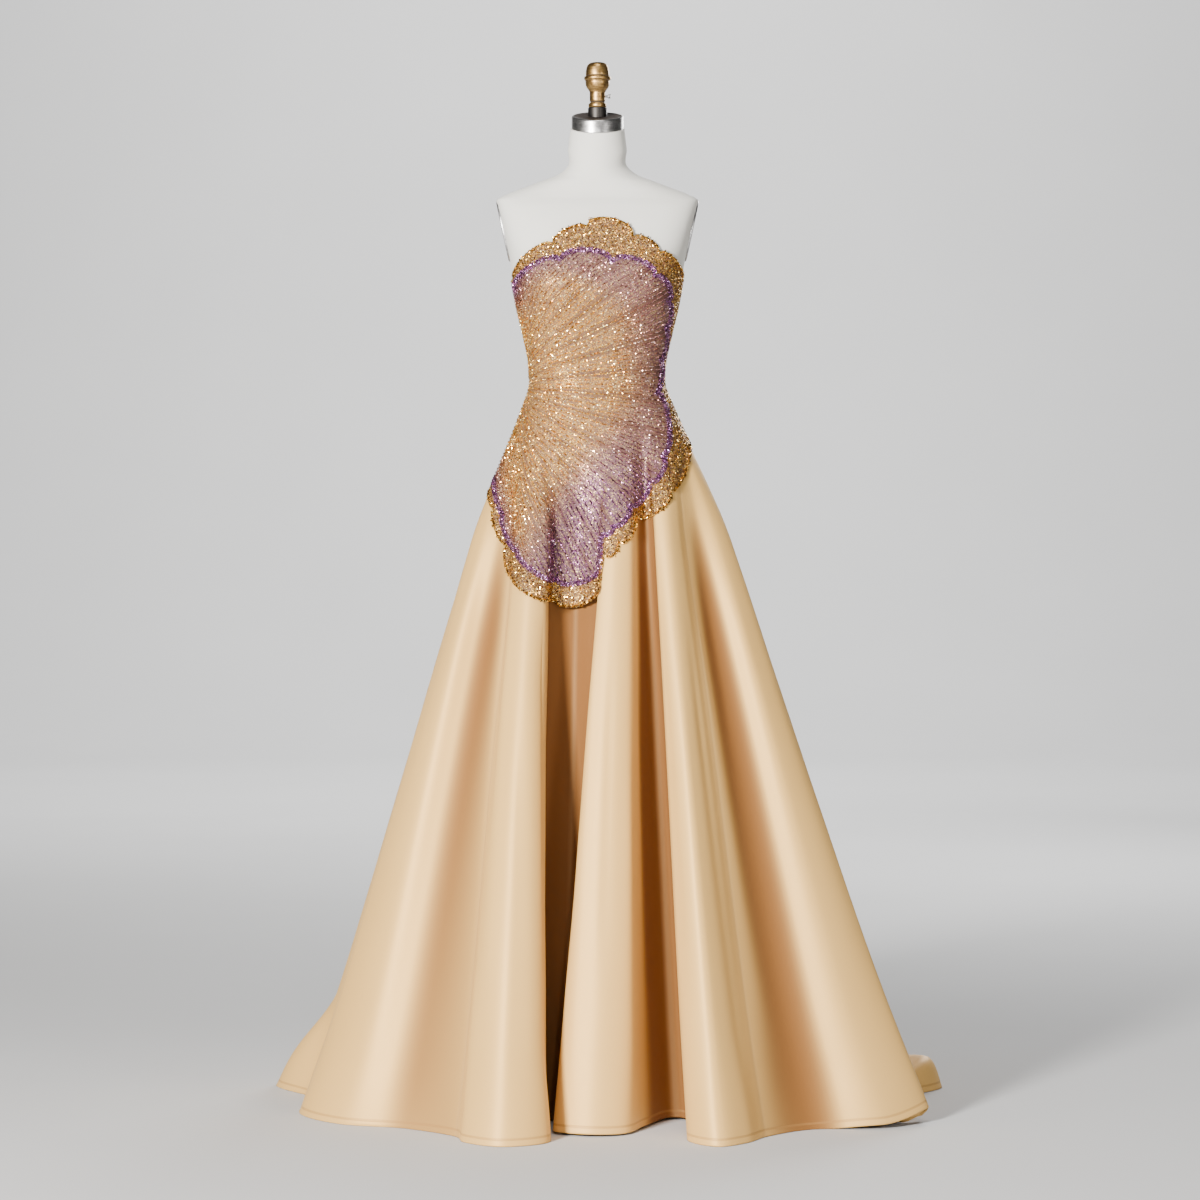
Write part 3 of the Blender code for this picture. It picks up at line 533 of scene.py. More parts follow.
# %% Nodes of any tree
class Nodes:
    """A tree of nodes while it is being laid out."""

    def __init__(self, tree):
        self.tree = tree
        tree.nodes.clear()

    def node(self, kind, settings=None, inputs=None, output=0):
        """A node of a type, with its settings made first and then its sockets filled."""
        made = self.tree.nodes.new(kind)
        for key, value in (settings or {}).items():
            if key == "stops":
                while len(made.color_ramp.elements) < len(value):
                    made.color_ramp.elements.new(0.5)
                for stop, (place, colour) in zip(made.color_ramp.elements, value):
                    stop.position, stop.color = place, (*colour, 1.0)
            else:
                setattr(made, key, value)
        for key, value in (inputs or {}).items():
            if isinstance(value, Amount):
                self.tree.links.new(value.socket, made.inputs[key])
            else:
                made.inputs[key].default_value = value
        return Amount(self, made.outputs[output]) if made.outputs else None


# %% A finish and its nodes
class Finish(Nodes):
    """A material while its nodes are being laid out."""

    def __init__(self, name):
        self.material = bpy.data.materials.new(name)
        self.material.use_nodes = True
        super().__init__(self.material.node_tree)

    def object_place(self):
        return self.node("ShaderNodeTexCoord", output="Object")

    def reading(self, name):
        """A value that the piece itself carries."""
        return self.node("ShaderNodeAttribute", {"attribute_name": name}, output="Fac")

    def noise(self, place, scale, detail, roughness=0.5):
        inputs = {"Vector": place, "Scale": scale, "Detail": detail, "Roughness": roughness}
        return self.node("ShaderNodeTexNoise", {}, inputs, "Fac")

    def wave(self, place, scale, direction, distortion):
        settings = {"wave_type": "BANDS", "bands_direction": direction}
        inputs = {"Vector": place, "Scale": scale, "Distortion": distortion}
        return self.node("ShaderNodeTexWave", settings, inputs, "Fac")

    def stretched(self, place, scale):
        return self.node("ShaderNodeMapping", {}, {"Vector": place, "Scale": scale})

    def ramp(self, value, stops):
        return self.node("ShaderNodeValToRGB", {"stops": stops}, {"Fac": value}, "Color")

    def blend(self, share, first, second):
        """One colour turning into another as share goes from 0 to 1."""
        settings = {"data_type": "RGBA", "blend_type": "MIX"}
        first = first if isinstance(first, Amount) else (*first, 1.0)
        second = second if isinstance(second, Amount) else (*second, 1.0)
        return self.node("ShaderNodeMix", settings, {0: share, 6: first, 7: second}, 2)

    def step(self, value, low, high):
        """0 below low, 1 above high and a soft slope between them."""
        settings = {"interpolation_type": "SMOOTHSTEP"}
        inputs = {"Value": value, "From Min": low, "From Max": high}
        return self.node("ShaderNodeMapRange", settings, inputs, "Result")

    def bump(self, height, distance, strength):
        inputs = {"Height": height, "Distance": distance, "Strength": strength}
        return self.node("ShaderNodeBump", {}, inputs, "Normal")

    def surface(self, **sockets):
        """The finished surface, from the shader's sockets written with underscores."""
        inputs = {key.replace("_", " "): value for key, value in sockets.items()}
        shader = self.node("ShaderNodeBsdfPrincipled", {}, inputs, "BSDF")
        self.node("ShaderNodeOutputMaterial", {}, {"Surface": shader})
        return self.material


# %% [markdown]
# ## Satin
#
# Duchess satin is heavy and closely woven, so it shows broad soft lights rather than glitter.
# Its colour deepens inside a fold, where light that has already bounced off the cloth bounces
# again. Real light does part of that here, and the rest is painted shade: the base colour
# darkens by a value that the mesh carries, how deep in a fold each point lies. The weave is
# fine lines along the cloth's own grain, in metres, so it runs down every gore as the threads
# do. The seams between the gores and the stitched line over the hem are values on the mesh as
# well.

# %% Satin finish
SATIN_SHADE = (0.665, 0.390, 0.112)
SATIN_LIGHT = (0.720, 0.440, 0.140)
SATIN_THREAD = (0.58, 0.34, 0.11)
# colour of the painted shade deep in the folds
SATIN_FOLD_SHADE = (0.150, 0.046, 0.009)
SEAM_TONE = (0.50, 0.31, 0.14)
STITCH_TONE = (0.34, 0.17, 0.05)
SLUB_SCALE = (900, 45, 1)
THREAD_SCALE = 300.0
HEM_TURN = 0.012
# squared distances from the stitched line, where it begins to show and where it is full
STITCH_EDGE = 7.0e-6
STITCH_CORE = 1.0e-6


def mix_satin():
    satin = Finish("champagne_satin")
    grain = satin.node("ShaderNodeUVMap", {"uv_map": "cloth"}, output="UV")
    depth = satin.reading("fold_depth")
    seam = satin.reading("seam")
    cloudy = satin.noise(satin.object_place(), 2.2, 3.0)
    slubs = satin.noise(satin.stretched(grain, SLUB_SCALE), 1.0, 1.0)
    threads = satin.wave(grain, THREAD_SCALE, "X", 0.6)
    light = satin.blend(cloudy, SATIN_SHADE, SATIN_LIGHT)
    threaded = satin.blend(slubs * 0.18, light, SATIN_THREAD)
    # painted shade: the base colour darkens deep in folds, by the value that the mesh carries
    deep = satin.blend(satin.step(depth, 0.0, 1.0) * 0.90, threaded, SATIN_FOLD_SHADE)
    from_line = (satin.reading("to_hem") - HEM_TURN) ** 2
    stitched = satin.step(from_line, STITCH_EDGE, STITCH_CORE)
    sewn = satin.blend(seam * 0.25, deep, SEAM_TONE)
    relief = threads * 0.25 + slubs * 0.35 - seam * 5.0 - stitched * 4.0
    return satin.surface(
        Base_Color=satin.blend(stitched * 0.45, sewn, STITCH_TONE),
        Roughness=cloudy * 0.08 + slubs * 0.08 + depth * 0.30 + 0.42,
        Normal=satin.bump(relief, 0.00012, 0.55),
        Sheen_Weight=0.05,
        Sheen_Roughness=0.45,
        Sheen_Tint=(1.0, 0.88, 0.70, 1.0),
        Specular_IOR_Level=0.40,
        Specular_Tint=(1.0, 0.80, 0.55, 1.0),
        Metallic=0.12,
    )


satin_finish = mix_satin()
print("satin nodes:", len(satin_finish.node_tree.nodes))

# %% [markdown]
# ## The skirt's cloth
#
# The nine gores are sewn into one skirt. It is made here as two sheets, front and back, that
# meet behind the side folds, so that each stays a light mesh. A pressed fold is not even: long
# shallow creases run down it, drift sideways and fade. Each is a row of a table that names the
# fold it starts near, how far it drifts, and where it begins and ends on the cloth.

# %% Soft creases
# fold near the top, drift in folds, starts at, ends at (share of the cloth), width, depth in m
CREASES = (
    ("left_edge", 0.35, 0.22, 1.05, 0.30, -0.0030),
    ("left_panel_crest", 0.25, 0.15, 1.05, 0.22, 0.0030),
    ("left_panel_trough", -0.60, 0.16, 1.12, 0.62, -0.0150),
    ("left_panel_crest", 0.10, 0.20, 1.10, 0.40, 0.0060),
    ("left_panel_end", 0.60, 0.34, 1.05, 0.26, 0.0030),
    ("first_fold_left", 0.30, 0.28, 0.92, 0.20, 0.0022),
    ("first_fold_crest", 0.35, 0.40, 1.05, 0.18, -0.0026),
    ("first_fold_right", 0.45, 0.22, 1.06, 0.50, -0.0110),
    ("deep_valley_left", 0.45, 0.34, 0.96, 0.22, -0.0030),
    ("deep_valley_floor", -0.30, 0.08, 0.85, 0.95, -0.0110),
    ("deep_valley_right", 0.15, 0.08, 0.85, 0.42, -0.0150),
    ("front_fold_left", 0.45, 0.26, 1.05, 0.20, 0.0026),
    ("front_fold_crest", 0.25, 0.30, 0.86, 0.18, -0.0022),
    ("front_fold_right", 0.35, 0.45, 1.05, 0.20, 0.0022),
    ("second_valley_left", 0.55, 0.30, 0.94, 0.22, -0.0028),
    ("second_valley_floor", 0.30, 0.20, 1.15, 0.60, -0.0090),
    ("third_fold_left", 0.25, 0.24, 0.90, 0.18, -0.0028),
    ("third_fold_crest", 0.15, 0.36, 1.05, 0.18, 0.0024),
    ("third_fold_right", 0.30, 0.30, 1.05, 0.22, -0.0034),
    ("right_panel_start", 0.55, 0.26, 1.00, 0.24, 0.0030),
    ("right_panel_trough", 0.20, 0.16, 1.12, 0.50, -0.0135),
    ("right_panel_crest", -0.35, 0.22, 1.05, 0.24, 0.0028),
    ("right_corner", -0.20, 0.30, 0.95, 0.22, -0.0024),
    ("right_return", 0.40, 0.35, 1.00, 0.25, 0.0026),
    ("train_right_curl", 0.30, 0.30, 1.10, 0.22, -0.0030),
    ("side_right_trough", 0.40, 0.26, 1.15, 0.20, 0.0034),
    ("rear_right_crest", 0.35, 0.30, 1.10, 0.20, -0.0030),
    ("rear_right_trough", -0.30, 0.24, 1.20, 0.20, 0.0030),
    ("back_right_crest", 0.25, 0.34, 1.20, 0.18, -0.0030),
    ("back_right_trough", 0.40, 0.28, 1.25, 0.18, 0.0032),
    ("back_crest", 0.30, 0.30, 1.20, 0.18, -0.0030),
    ("back_left_trough", 0.35, 0.26, 1.25, 0.18, 0.0030),
    ("back_left_crest", -0.25, 0.32, 1.20, 0.18, -0.0030),
    ("rear_left_trough", 0.35, 0.26, 1.20, 0.20, 0.0032),
    ("rear_left_crest", 0.30, 0.30, 1.10, 0.20, -0.0028),
    ("side_left_trough", 0.35, 0.30, 1.10, 0.20, 0.0030),
    ("train_left_crest", 0.40, 0.34, 1.05, 0.22, -0.0026),
)
CREASE_START = 0.22
CREASE_END = 0.16
CREASE_SPREAD = 0.5
SEAMS = (
    "back_crest",
    "rear_left_trough",
    "left_tuck",
    "left_panel_end",
    "deep_valley_floor",
    "second_valley_floor",
    "right_panel_start",
    "right_tuck",
    "rear_right_trough",
)


def crease_heights(along, place):
    """How far creases raise the cloth; along counts folds and place runs down the cloth."""
    raised = np.zeros(np.broadcast_shapes(along.shape, place.shape))
    count = len(FOLD_NAMES)
    for name, drift, top, bottom, width, depth in CREASES:
        line = FOLD_NAMES.index(name) + drift * (place - top) / (bottom - top)
        apart = (along - line + count / 2) % count - count / 2
        spread = width * (1.0 + CREASE_SPREAD * place)
        fade = smooth_step(place, top, top + CREASE_START)
        fade = fade * (1 - smooth_step(place, bottom - CREASE_END, bottom))
        raised += depth * fade * np.exp(-((apart / spread) ** 2))
    return raised


# reach at the waist and added at the hem, full depth at the waist and added at the hem, weight
HOLLOW_SCALES = (
    (0.040, 0.130, 0.012, 0.055, 1.0),
    (0.055, 0.055, 0.010, 0.020, 0.85),
    (0.018, 0.022, 0.008, 0.0, 0.35),
)
HOLLOW_FLOOR = 0.02


def run_along(line):
    """The distance along a line of points, at each point."""
    return np.concatenate([[0.0], np.cumsum(np.linalg.norm(np.diff(line, axis=0), axis=1))])


# The satin's base colour darkens by this value: painted shade deep in the folds.
def hollows(points, normals):
    """0 on crests and 1 deep in folds: how far the cloth lies behind its average nearby."""
    depth = np.zeros(points.shape[:2])
    for i, row in enumerate(points):
        run = run_along(row)
        share = i / len(points)
        for reach, more_reach, full, more_full, weight in HOLLOW_SCALES:
            spread = reach + more_reach * share
            weights = np.exp(-0.5 * ((run[:, None] - run[None, :]) / spread) ** 2)
            weights *= np.gradient(run)[None, :]
            weights /= weights.sum(axis=1, keepdims=True)
            facing = weights @ normals[i]
            facing /= np.linalg.norm(facing, axis=1, keepdims=True)
            behind = ((weights @ row - row) * facing).sum(axis=1)
            hollow = np.clip(HOLLOW_FLOOR + behind / (full + more_full * share), 0.0, 1.0)
            depth[i] = 1 - (1 - depth[i]) * (1 - weight * hollow)
    return depth


# %% One sheet of the skirt
VISUAL_WALL = 0.0013
SEAM_HALF_WIDTH = 0.0035


def seam_share(skirt, columns, outer):
    """1 on a seam between two gores, falling to 0 beside it."""
    share = np.zeros(outer.shape[:2])
    at = columns % len(skirt.samples)
    for seam in SEAMS:
        for match in np.nonzero(at == skirt.starts[seam])[0]:
            apart = np.linalg.norm(outer - outer[:, match : match + 1], axis=2)
            share = np.maximum(share, np.exp(-((apart / SEAM_HALF_WIDTH) ** 2)))
    return share


def lay_grain(piece, across, down):
    """Distances along the cloth as a UV map, so that the weave follows it."""
    grain = np.tile(np.stack([across, down], axis=-1).reshape(-1, 2), (2, 1))
    corners = np.zeros(len(piece.data.loops), dtype=np.int32)
    piece.data.loops.foreach_get("vertex_index", corners)
    layer = piece.data.uv_layers.new(name="cloth")
    layer.data.foreach_set("uv", grain[corners].astype(np.float32).ravel())


def build_skirt_sheet(skirt, name, first, last, upper_rows, lower_rows, nodes):
    """The skirt between two named folds, as a thin closed shell with its creases."""
    columns = skirt.columns(first, last)
    around = np.concatenate([[columns[0] - 1], columns, [columns[-1] + 1]])
    smooth = skirt.grid(around, upper_rows, lower_rows)
    normals = grid_normals(smooth)
    steps = np.linalg.norm(np.diff(smooth, axis=0), axis=2)
    length = np.concatenate([np.zeros((1, smooth.shape[1])), np.cumsum(steps, axis=0)])
    along = skirt.samples[around % len(skirt.samples), 7][None, :]
    raised = crease_heights(along, length / WAIST_HEIGHT)
    outer = (smooth + raised[..., None] * normals)[:, 1:-1]
    normals = grid_normals(smooth + raised[..., None] * normals)[:, 1:-1]
    inner = outer - VISUAL_WALL * normals
    lying = VISUAL_WALL * np.clip(normals[..., 2], 0, 1)
    outer[..., 2] = np.maximum(outer[..., 2], lying)
    inner[..., 2] = np.maximum(inner[..., 2], 0.0)
    piece = add_shell(name, outer, inner)
    hem = run_along(outer[-1])
    # how deep in a fold each point lies, which paints shade into the satin's colour
    add_value(piece, "fold_depth", np.tile(hollows(outer, normals).ravel(), 2))
    add_value(piece, "seam", np.tile(seam_share(skirt, columns, outer).ravel(), 2))
    add_value(piece, "to_hem", np.tile((length[-1:] - length)[:, 1:-1].ravel(), 2))
    lay_grain(piece, np.broadcast_to(hem, outer.shape[:2]), length[:, 1:-1])
    finish_piece(piece, satin_finish, nodes)


# %% Hang the skirt
FRONT_GORES = ("side_left", "front_left", "front_centre", "front_right", "side_right")
BACK_GORES = ("rear_right", "back_right", "back_left", "rear_left")
skirt = Skirt(front_step=0.0095, back_step=0.017, widest_step=2.2)
# name, first and last fold, rows above the hip's end, rows below it, gores
for name, first, last, upper_rows, lower_rows, gores in (
    ("skirt_front", "left_tuck", "right_tuck", 45, 105, FRONT_GORES),
    ("skirt_back", "right_tuck", "left_tuck", 34, 96, BACK_GORES),
):
    nodes = ["gore_" + gore for gore in gores]
    build_skirt_sheet(skirt, name, first, last, upper_rows, lower_rows, nodes)

# %% [markdown]
# ## The bodice's surface
#
# The bodice is one net cloth from the neckline to the hip. Below the waist it lies on the skirt
# and above it on the body, so its surface takes the skirt's own columns and carries on up. To
# set beads in rows, we also need to know distances on the cloth: the surface is read as a map,
# with the distance from the centre front across and the height up.

# %% Read the bodice's surface
WAISTBAND_FADE = 0.025
NECKLINE_STAND = 0.006
NECKLINE_FROM = 1.47
NECKLINE_TO = 1.59


def bodice_out(height):
    """How far the bodice's underside stands off the body, above the waist."""
    over_skirt = (SATIN_WALL + LAYER_GAP) * np.exp(-(height - WAIST_HEIGHT) / WAISTBAND_FADE)
    neckline = NECKLINE_STAND * smooth_step(height, NECKLINE_FROM, NECKLINE_TO)
    return BODY_EASE - LAYER_GAP + over_skirt + neckline


class Bodice:
    """The bodice's surface between two named folds, with its normals and distances."""

    def __init__(self, skirt, first, last, top, bottom, rows):
        self.heights = np.linspace(top, bottom, rows)
        self.columns = skirt.columns(first, last)
        around = np.concatenate([[self.columns[0] - 1], self.columns, [self.columns[-1] + 1]])
        share = np.maximum(0.0, (WAIST_HEIGHT - self.heights) / WAIST_HEIGHT)
        below = skirt.hanging(around, share[:, None])
        bearings = skirt.samples[around % len(skirt.samples), 0][None, :]
        high = np.maximum(self.heights, WAIST_HEIGHT)[:, None]
        above = body_points(bearings, high, bodice_out(high))
        face = np.where((self.heights <= WAIST_HEIGHT)[:, None, None], below, above)
        self.normals = grid_normals(face)[:, 1:-1]
        self.face = face[:, 1:-1]
        steps = np.linalg.norm(np.diff(self.face, axis=1), axis=2)
        run = np.concatenate([np.zeros((rows, 1)), np.cumsum(steps, axis=1)], axis=1)
        middle = [np.interp(0.0, row[:, 0], np.arange(row.shape[0])) for row in self.face]
        start = [np.interp(m, np.arange(run.shape[1]), r) for m, r in zip(middle, run)]
        self.across = run - np.array(start)[:, None]

    def layer(self, out):
        return self.face + out * self.normals


FRONT_TOP = 1.606
FRONT_BOTTOM = 0.86
bodice_curves = Skirt(front_step=0.018, back_step=0.03, widest_step=1.8)
front_face = Bodice(bodice_curves, "left_tuck", "right_return", FRONT_TOP, FRONT_BOTTOM, 156)
print("bodice front:", front_face.face.shape, "across", front_face.across.min().round(3))

# %% [markdown]
# The rows of beads on the panel start at the side seam. At the waist they open like a fan, and
# higher and lower they run side by side at a slant. One formula gives both: a row that starts
# at height c rises with a slope that grows with c and then levels out. Its inverse tells which
# row a point belongs to, which is also what shapes the small gathers at the waist.

# %% The fan of rows
FAN_HEIGHT = 1.282
FAN_SLOPE = 1.25
FAN_TURN = 0.05


def fan_rise(row, run):
    """Height of a row above the fan's centre, at a distance from the side seam."""
    return row + FAN_SLOPE * np.tanh(row / FAN_TURN) * run


def fan_row(run, height):
    """Which row passes through a point, by halving the range in which it lies."""
    run, rise = np.broadcast_arrays(np.maximum(run, 0.0), height - FAN_HEIGHT)
    low, high = np.full(run.shape, -0.8), np.full(run.shape, 0.8)
    for _ in range(34):
        middle = (low + high) / 2
        under = fan_rise(middle, run) < rise
        low, high = np.where(under, middle, low), np.where(under, high, middle)
    return (low + high) / 2


def fan_spread(row, run):
    """How many times further apart the rows are here than at the side seam."""
    return 1.0 + FAN_SLOPE / FAN_TURN / np.cosh(row / FAN_TURN) ** 2 * run


def runs_of(face, curves):
    """Distances on the cloth from the left side seam, for every point of the surface."""
    bearings = curves.samples[face.columns % len(curves.samples), 0]
    side = int(np.argmin(np.abs(bearings + 90.0)))
    return face.across - face.across[:, side : side + 1]


front_runs = runs_of(front_face, bodice_curves)
print("front panel: from", front_runs.min().round(3), "to", front_runs.max().round(3), "m")


# %% From distances on the cloth to places in space
MAP_STEP = 0.0015


class ClothMap:
    """Looks up points of a surface by the distance across it and the height."""

    def __init__(self, face, runs):
        self.top, self.bottom = face.heights[0], face.heights[-1]
        self.first = runs.min()
        ticks = np.arange(runs.min(), runs.max(), MAP_STEP)
        both = np.concatenate([face.face, face.normals], axis=2)
        rows = []
        for run, row in zip(runs, both):
            clipped = [np.interp(ticks, run, row[:, k]) for k in range(6)]
            rows.append(np.stack(clipped, axis=1))
        self.table = np.array(rows)
        self.ends = runs[:, 0], runs[:, -1]

    def read(self, run, height):
        """Points, outward normals and whether each place is on the cloth."""
        rows, ticks = self.table.shape[:2]
        r = np.clip((self.top - height) / (self.top - self.bottom) * (rows - 1), 0, rows - 1.001)
        c = np.clip((run - self.first) / MAP_STEP, 0, ticks - 1.001)
        i, j = r.astype(int), c.astype(int)
        fr, fc = (r - i)[:, None], (c - j)[:, None]
        upper = self.table[i, j] * (1 - fc) + self.table[i, j + 1] * fc
        lower = self.table[i + 1, j] * (1 - fc) + self.table[i + 1, j + 1] * fc
        mixed = upper * (1 - fr) + lower * fr
        on = (run > self.ends[0][i]) & (run < self.ends[1][i])
        normals = mixed[:, 3:] / np.linalg.norm(mixed[:, 3:], axis=1, keepdims=True)
        return mixed[:, :3], normals, on


front_map = ClothMap(front_face, front_runs)

# %% [markdown]
# ## Scalloped outlines
#
# The beaded cloth ends in scallops: round lobes that meet in notches. Each outline is a short
# table of notches, seen from the front, with how far the lobe between two notches swells. The
# lobes are plain arcs. The cloth is cut to them as a cutter would do it, by taking away what
# lies outside, with a Boolean modifier on the closed shell.

# %% Notches and lobes
# x, height, swell
BORDER_SCALLOPS = (
    (-0.250, 1.470, 0.0),
    (-0.152, 1.472, 0.016),
    (-0.080, 1.533, 0.012),
    (-0.020, 1.564, 0.024),
    (0.064, 1.545, 0.011),
    (0.110, 1.517, 0.013),
    (0.154, 1.472, 0.0),
    (0.250, 1.470, 0.0),
    (0.250, 1.193, 0.0),
    (0.163, 1.190, 0.016),
    (0.131, 1.092, 0.017),
    (0.066, 1.046, 0.014),
    (0.037, 1.000, 0.010),
    (0.012, 0.976, 0.0),
    (0.006, 0.934, 0.028),
    (-0.078, 0.901, 0.012),
    (-0.150, 0.938, 0.009),
    (-0.162, 0.996, 0.010),
    (-0.186, 1.060, 0.009),
    (-0.194, 1.132, 0.0),
    (-0.260, 1.132, 0.0),
)
SHELL_SCALLOPS = (
    (-0.260, 1.446, 0.0),
    (-0.153, 1.452, 0.018),
    (-0.066, 1.504, 0.020),
    (0.026, 1.500, 0.018),
    (0.103, 1.476, 0.014),
    (0.128, 1.430, 0.008),
    (0.124, 1.383, 0.007),
    (0.115, 1.326, 0.006),
    (0.108, 1.268, 0.017),
    (0.118, 1.155, 0.012),
    (0.094, 1.105, 0.010),
    (0.058, 1.064, 0.009),
    (0.030, 1.028, 0.006),
    (0.010, 1.014, 0.0),
    (0.006, 0.957, 0.018),
    (-0.074, 0.935, 0.012),
    (-0.142, 0.985, 0.009),
    (-0.170, 1.050, 0.008),
    (-0.188, 1.150, 0.0),
    (-0.260, 1.150, 0.0),
)
BACK_SCALLOPS = (
    (-0.250, 1.470, 0.0),
    (-0.152, 1.468, 0.0),
    (-0.105, 1.441, -0.002),
    (-0.050, 1.424, -0.002),
    (0.050, 1.424, -0.002),
    (0.105, 1.441, 0.0),
    (0.152, 1.468, 0.0),
    (0.250, 1.470, 0.0),
    (0.250, 1.193, 0.0),
    (0.180, 1.192, 0.010),
    (0.128, 1.162, 0.012),
    (0.064, 1.138, 0.012),
    (0.0, 1.124, 0.012),
    (-0.066, 1.120, 0.012),
    (-0.134, 1.124, 0.010),
    (-0.192, 1.132, 0.0),
    (-0.250, 1.132, 0.0),
)


# %% Outlines as loops
LOBE_PITCH = 0.004


def scalloped_loop(scallops, grow=0.0):
    """A closed outline in the front view, an arc for each lobe, moved outwards by grow."""
    rows = np.array(scallops)
    points = []
    for row, after in zip(rows, np.roll(rows, -1, axis=0)):
        start, end = row[:2], after[:2]
        length = np.linalg.norm(end - start)
        steps = max(1, round(length / LOBE_PITCH))
        away = np.array((-(end - start)[1], (end - start)[0])) / length
        share = np.arange(steps) / steps
        swell = row[2] * np.sqrt(np.maximum(0.0, 1 - (2 * share - 1) ** 2))
        points.append(start + share[:, None] * (end - start) + swell[:, None] * away)
    points = np.concatenate(points)
    if grow:
        tangent = np.roll(points, -1, axis=0) - np.roll(points, 1, axis=0)
        away = np.stack([-tangent[:, 1], tangent[:, 0]], axis=1)
        points = points + grow * away / np.linalg.norm(away, axis=1, keepdims=True)
    return points


def inside_loop(loop, x, z):
    """Whether places in the front view lie inside a loop."""
    crossed = np.zeros(x.shape, bool)
    for (x0, z0), (x1, z1) in zip(loop, np.roll(loop, -1, axis=0)):
        if z0 == z1:
            continue
        spans = (z0 > z) != (z1 > z)
        crossed ^= spans & (x < x0 + (z - z0) / (z1 - z0) * (x1 - x0))
    return crossed


def distance_to_loop(loop, x, z):
    """How far places in the front view are from a loop."""
    start, end = loop, np.roll(loop, -1, axis=0)
    nearest = np.full(x.shape, 1.0)
    for a, b in zip(start, end):
        along = b - a
        t = np.clip(((x - a[0]) * along[0] + (z - a[1]) * along[1]) / (along @ along), 0, 1)
        nearest = np.minimum(nearest, np.hypot(x - a[0] - t * along[0], z - a[1] - t * along[1]))
    return nearest


border_loop = scalloped_loop(BORDER_SCALLOPS)
shell_loop = scalloped_loop(SHELL_SCALLOPS)
back_loop = scalloped_loop(BACK_SCALLOPS)
print("lobes:", sum(row[2] > 0 for row in BORDER_SCALLOPS + SHELL_SCALLOPS + BACK_SCALLOPS))


# %% Cutting cloth
CUTTER_REACH = 0.7
CLOTH_EDGE = math.radians(50)


def add_cutter(loop):
    """A block with the outline of a loop, deep enough to cut the cloth front and back."""
    count = len(loop)
    shape = bmesh.new()
    near = [shape.verts.new((x, -CUTTER_REACH, z)) for x, z in loop]
    far = [shape.verts.new((x, CUTTER_REACH, z)) for x, z in loop]
    shape.faces.new(near)
    shape.faces.new(far[::-1])
    for i in range(count):
        j = (i + 1) % count
        shape.faces.new((near[i], far[i], far[j], near[j]))
    bmesh.ops.recalc_face_normals(shape, faces=shape.faces)
    mesh = bpy.data.meshes.new("cutter")
    shape.to_mesh(mesh)
    shape.free()
    return show("cutter", mesh)


def cut_by(piece, cutters):
    """The piece's mesh once each cutter has taken its share, by its operation."""
    for operation, cutter in cutters:
        modifier = piece.modifiers.new(operation.title(), "BOOLEAN")
        modifier.operation = operation
        modifier.solver = "EXACT"
        modifier.object = cutter
    mesh = evaluated(piece)
    piece.modifiers.clear()
    for _, cutter in cutters:
        bpy.data.objects.remove(cutter)
    return mesh


def smooth_but_edges(mesh, sharp):
    mesh.shade_smooth()
    mesh.set_sharp_from_angle(angle=sharp)


def keep_largest(mesh):
    """Drops the crumbs that a cut leaves beside the piece."""
    shape = bmesh.new()
    shape.from_mesh(mesh)
    left, islands = set(shape.verts), []
    while left:
        todo, island = [left.pop()], []
        while todo:
            vert = todo.pop()
            island.append(vert)
            near = {edge.other_vert(vert) for edge in vert.link_edges} & left
            left -= near
            todo += near
        islands.append(island)
    islands.sort(key=len)
    for island in islands[:-1]:
        bmesh.ops.delete(shape, geom=island, context="VERTS")
    shape.to_mesh(mesh)
    shape.free()


def cut_cloth(name, outer, inner, cuts):
    """A closed cloth cut to outlines; each cut is an operation and a loop."""
    blank = add_shell(name + "_blank", outer, inner)
    mesh = cut_by(blank, [(operation, add_cutter(loop)) for operation, loop in cuts])
    bpy.data.objects.remove(blank)
    keep_largest(mesh)
    smooth_but_edges(mesh, CLOTH_EDGE)
    return show(name, mesh)


# %% [markdown]
# ## Net, beads and sequins
#
# The panel is net, dyed lilac towards its edges and gold in the middle, and closely covered.
# A painted dot pattern looks flat because every dot would catch the light in the same way. So
# the beads are real ones, a few faces each: their facets point every way, and the few that face
# a lamp flash. The net below carries only what is too small to model.

# %% Where the panel is lilac
LILAC_LINE = (
    (0.90, -0.20),
    (0.98, -0.135),
    (1.08, -0.075),
    (1.17, -0.005),
    (1.26, 0.058),
    (1.35, 0.052),
    (1.42, 0.035),
    (1.46, -0.020),
    (1.50, -0.110),
    (1.60, -0.200),
)
LILAC_BLEND = 0.050
EDGE_CHANGE = 1.40
UPPER_EDGE = 0.036
LOWER_EDGE = 0.020
LILAC_SHARE = 0.74
LILAC_FULL_FROM = 1.22
LILAC_FULL_OVER = 0.14


def lilac_share(x, z):
    """0 where the panel is gold and 1 where it is lilac, by place in the front view."""
    line = read_rows(LILAC_LINE, z)[..., 1]
    beside = smooth_step(x - line, -LILAC_BLEND, LILAC_BLEND)
    reach = np.where(z > EDGE_CHANGE, UPPER_EDGE, LOWER_EDGE)
    edge = np.exp(-((distance_to_loop(shell_loop[::3], x, z) / reach) ** 1.5))
    full = LILAC_SHARE + (1 - LILAC_SHARE) * smooth_step(LILAC_FULL_FROM - z, 0.0, LILAC_FULL_OVER)
    return np.clip(np.maximum(full * beside, edge), 0.0, 1.0)


# %% Net finishes
ROW_PITCH = 0.0068
FOIL_SCALE = 620.0
NET_GOLD = (0.70, 0.31, 0.035)
NET_LILAC = (0.19, 0.055, 0.16)
NET_OCHRE = (0.40, 0.19, 0.03)
FOIL_PANEL = (1.0, 0.68, 0.24)
FOIL_BORDER = (1.0, 0.66, 0.22)
FOIL_DARK = (0.06, 0.03, 0.03)
NET_GROUND = (0.10, 0.05, 0.04)
ROW_SHADE = (0.10, 0.035, 0.02)


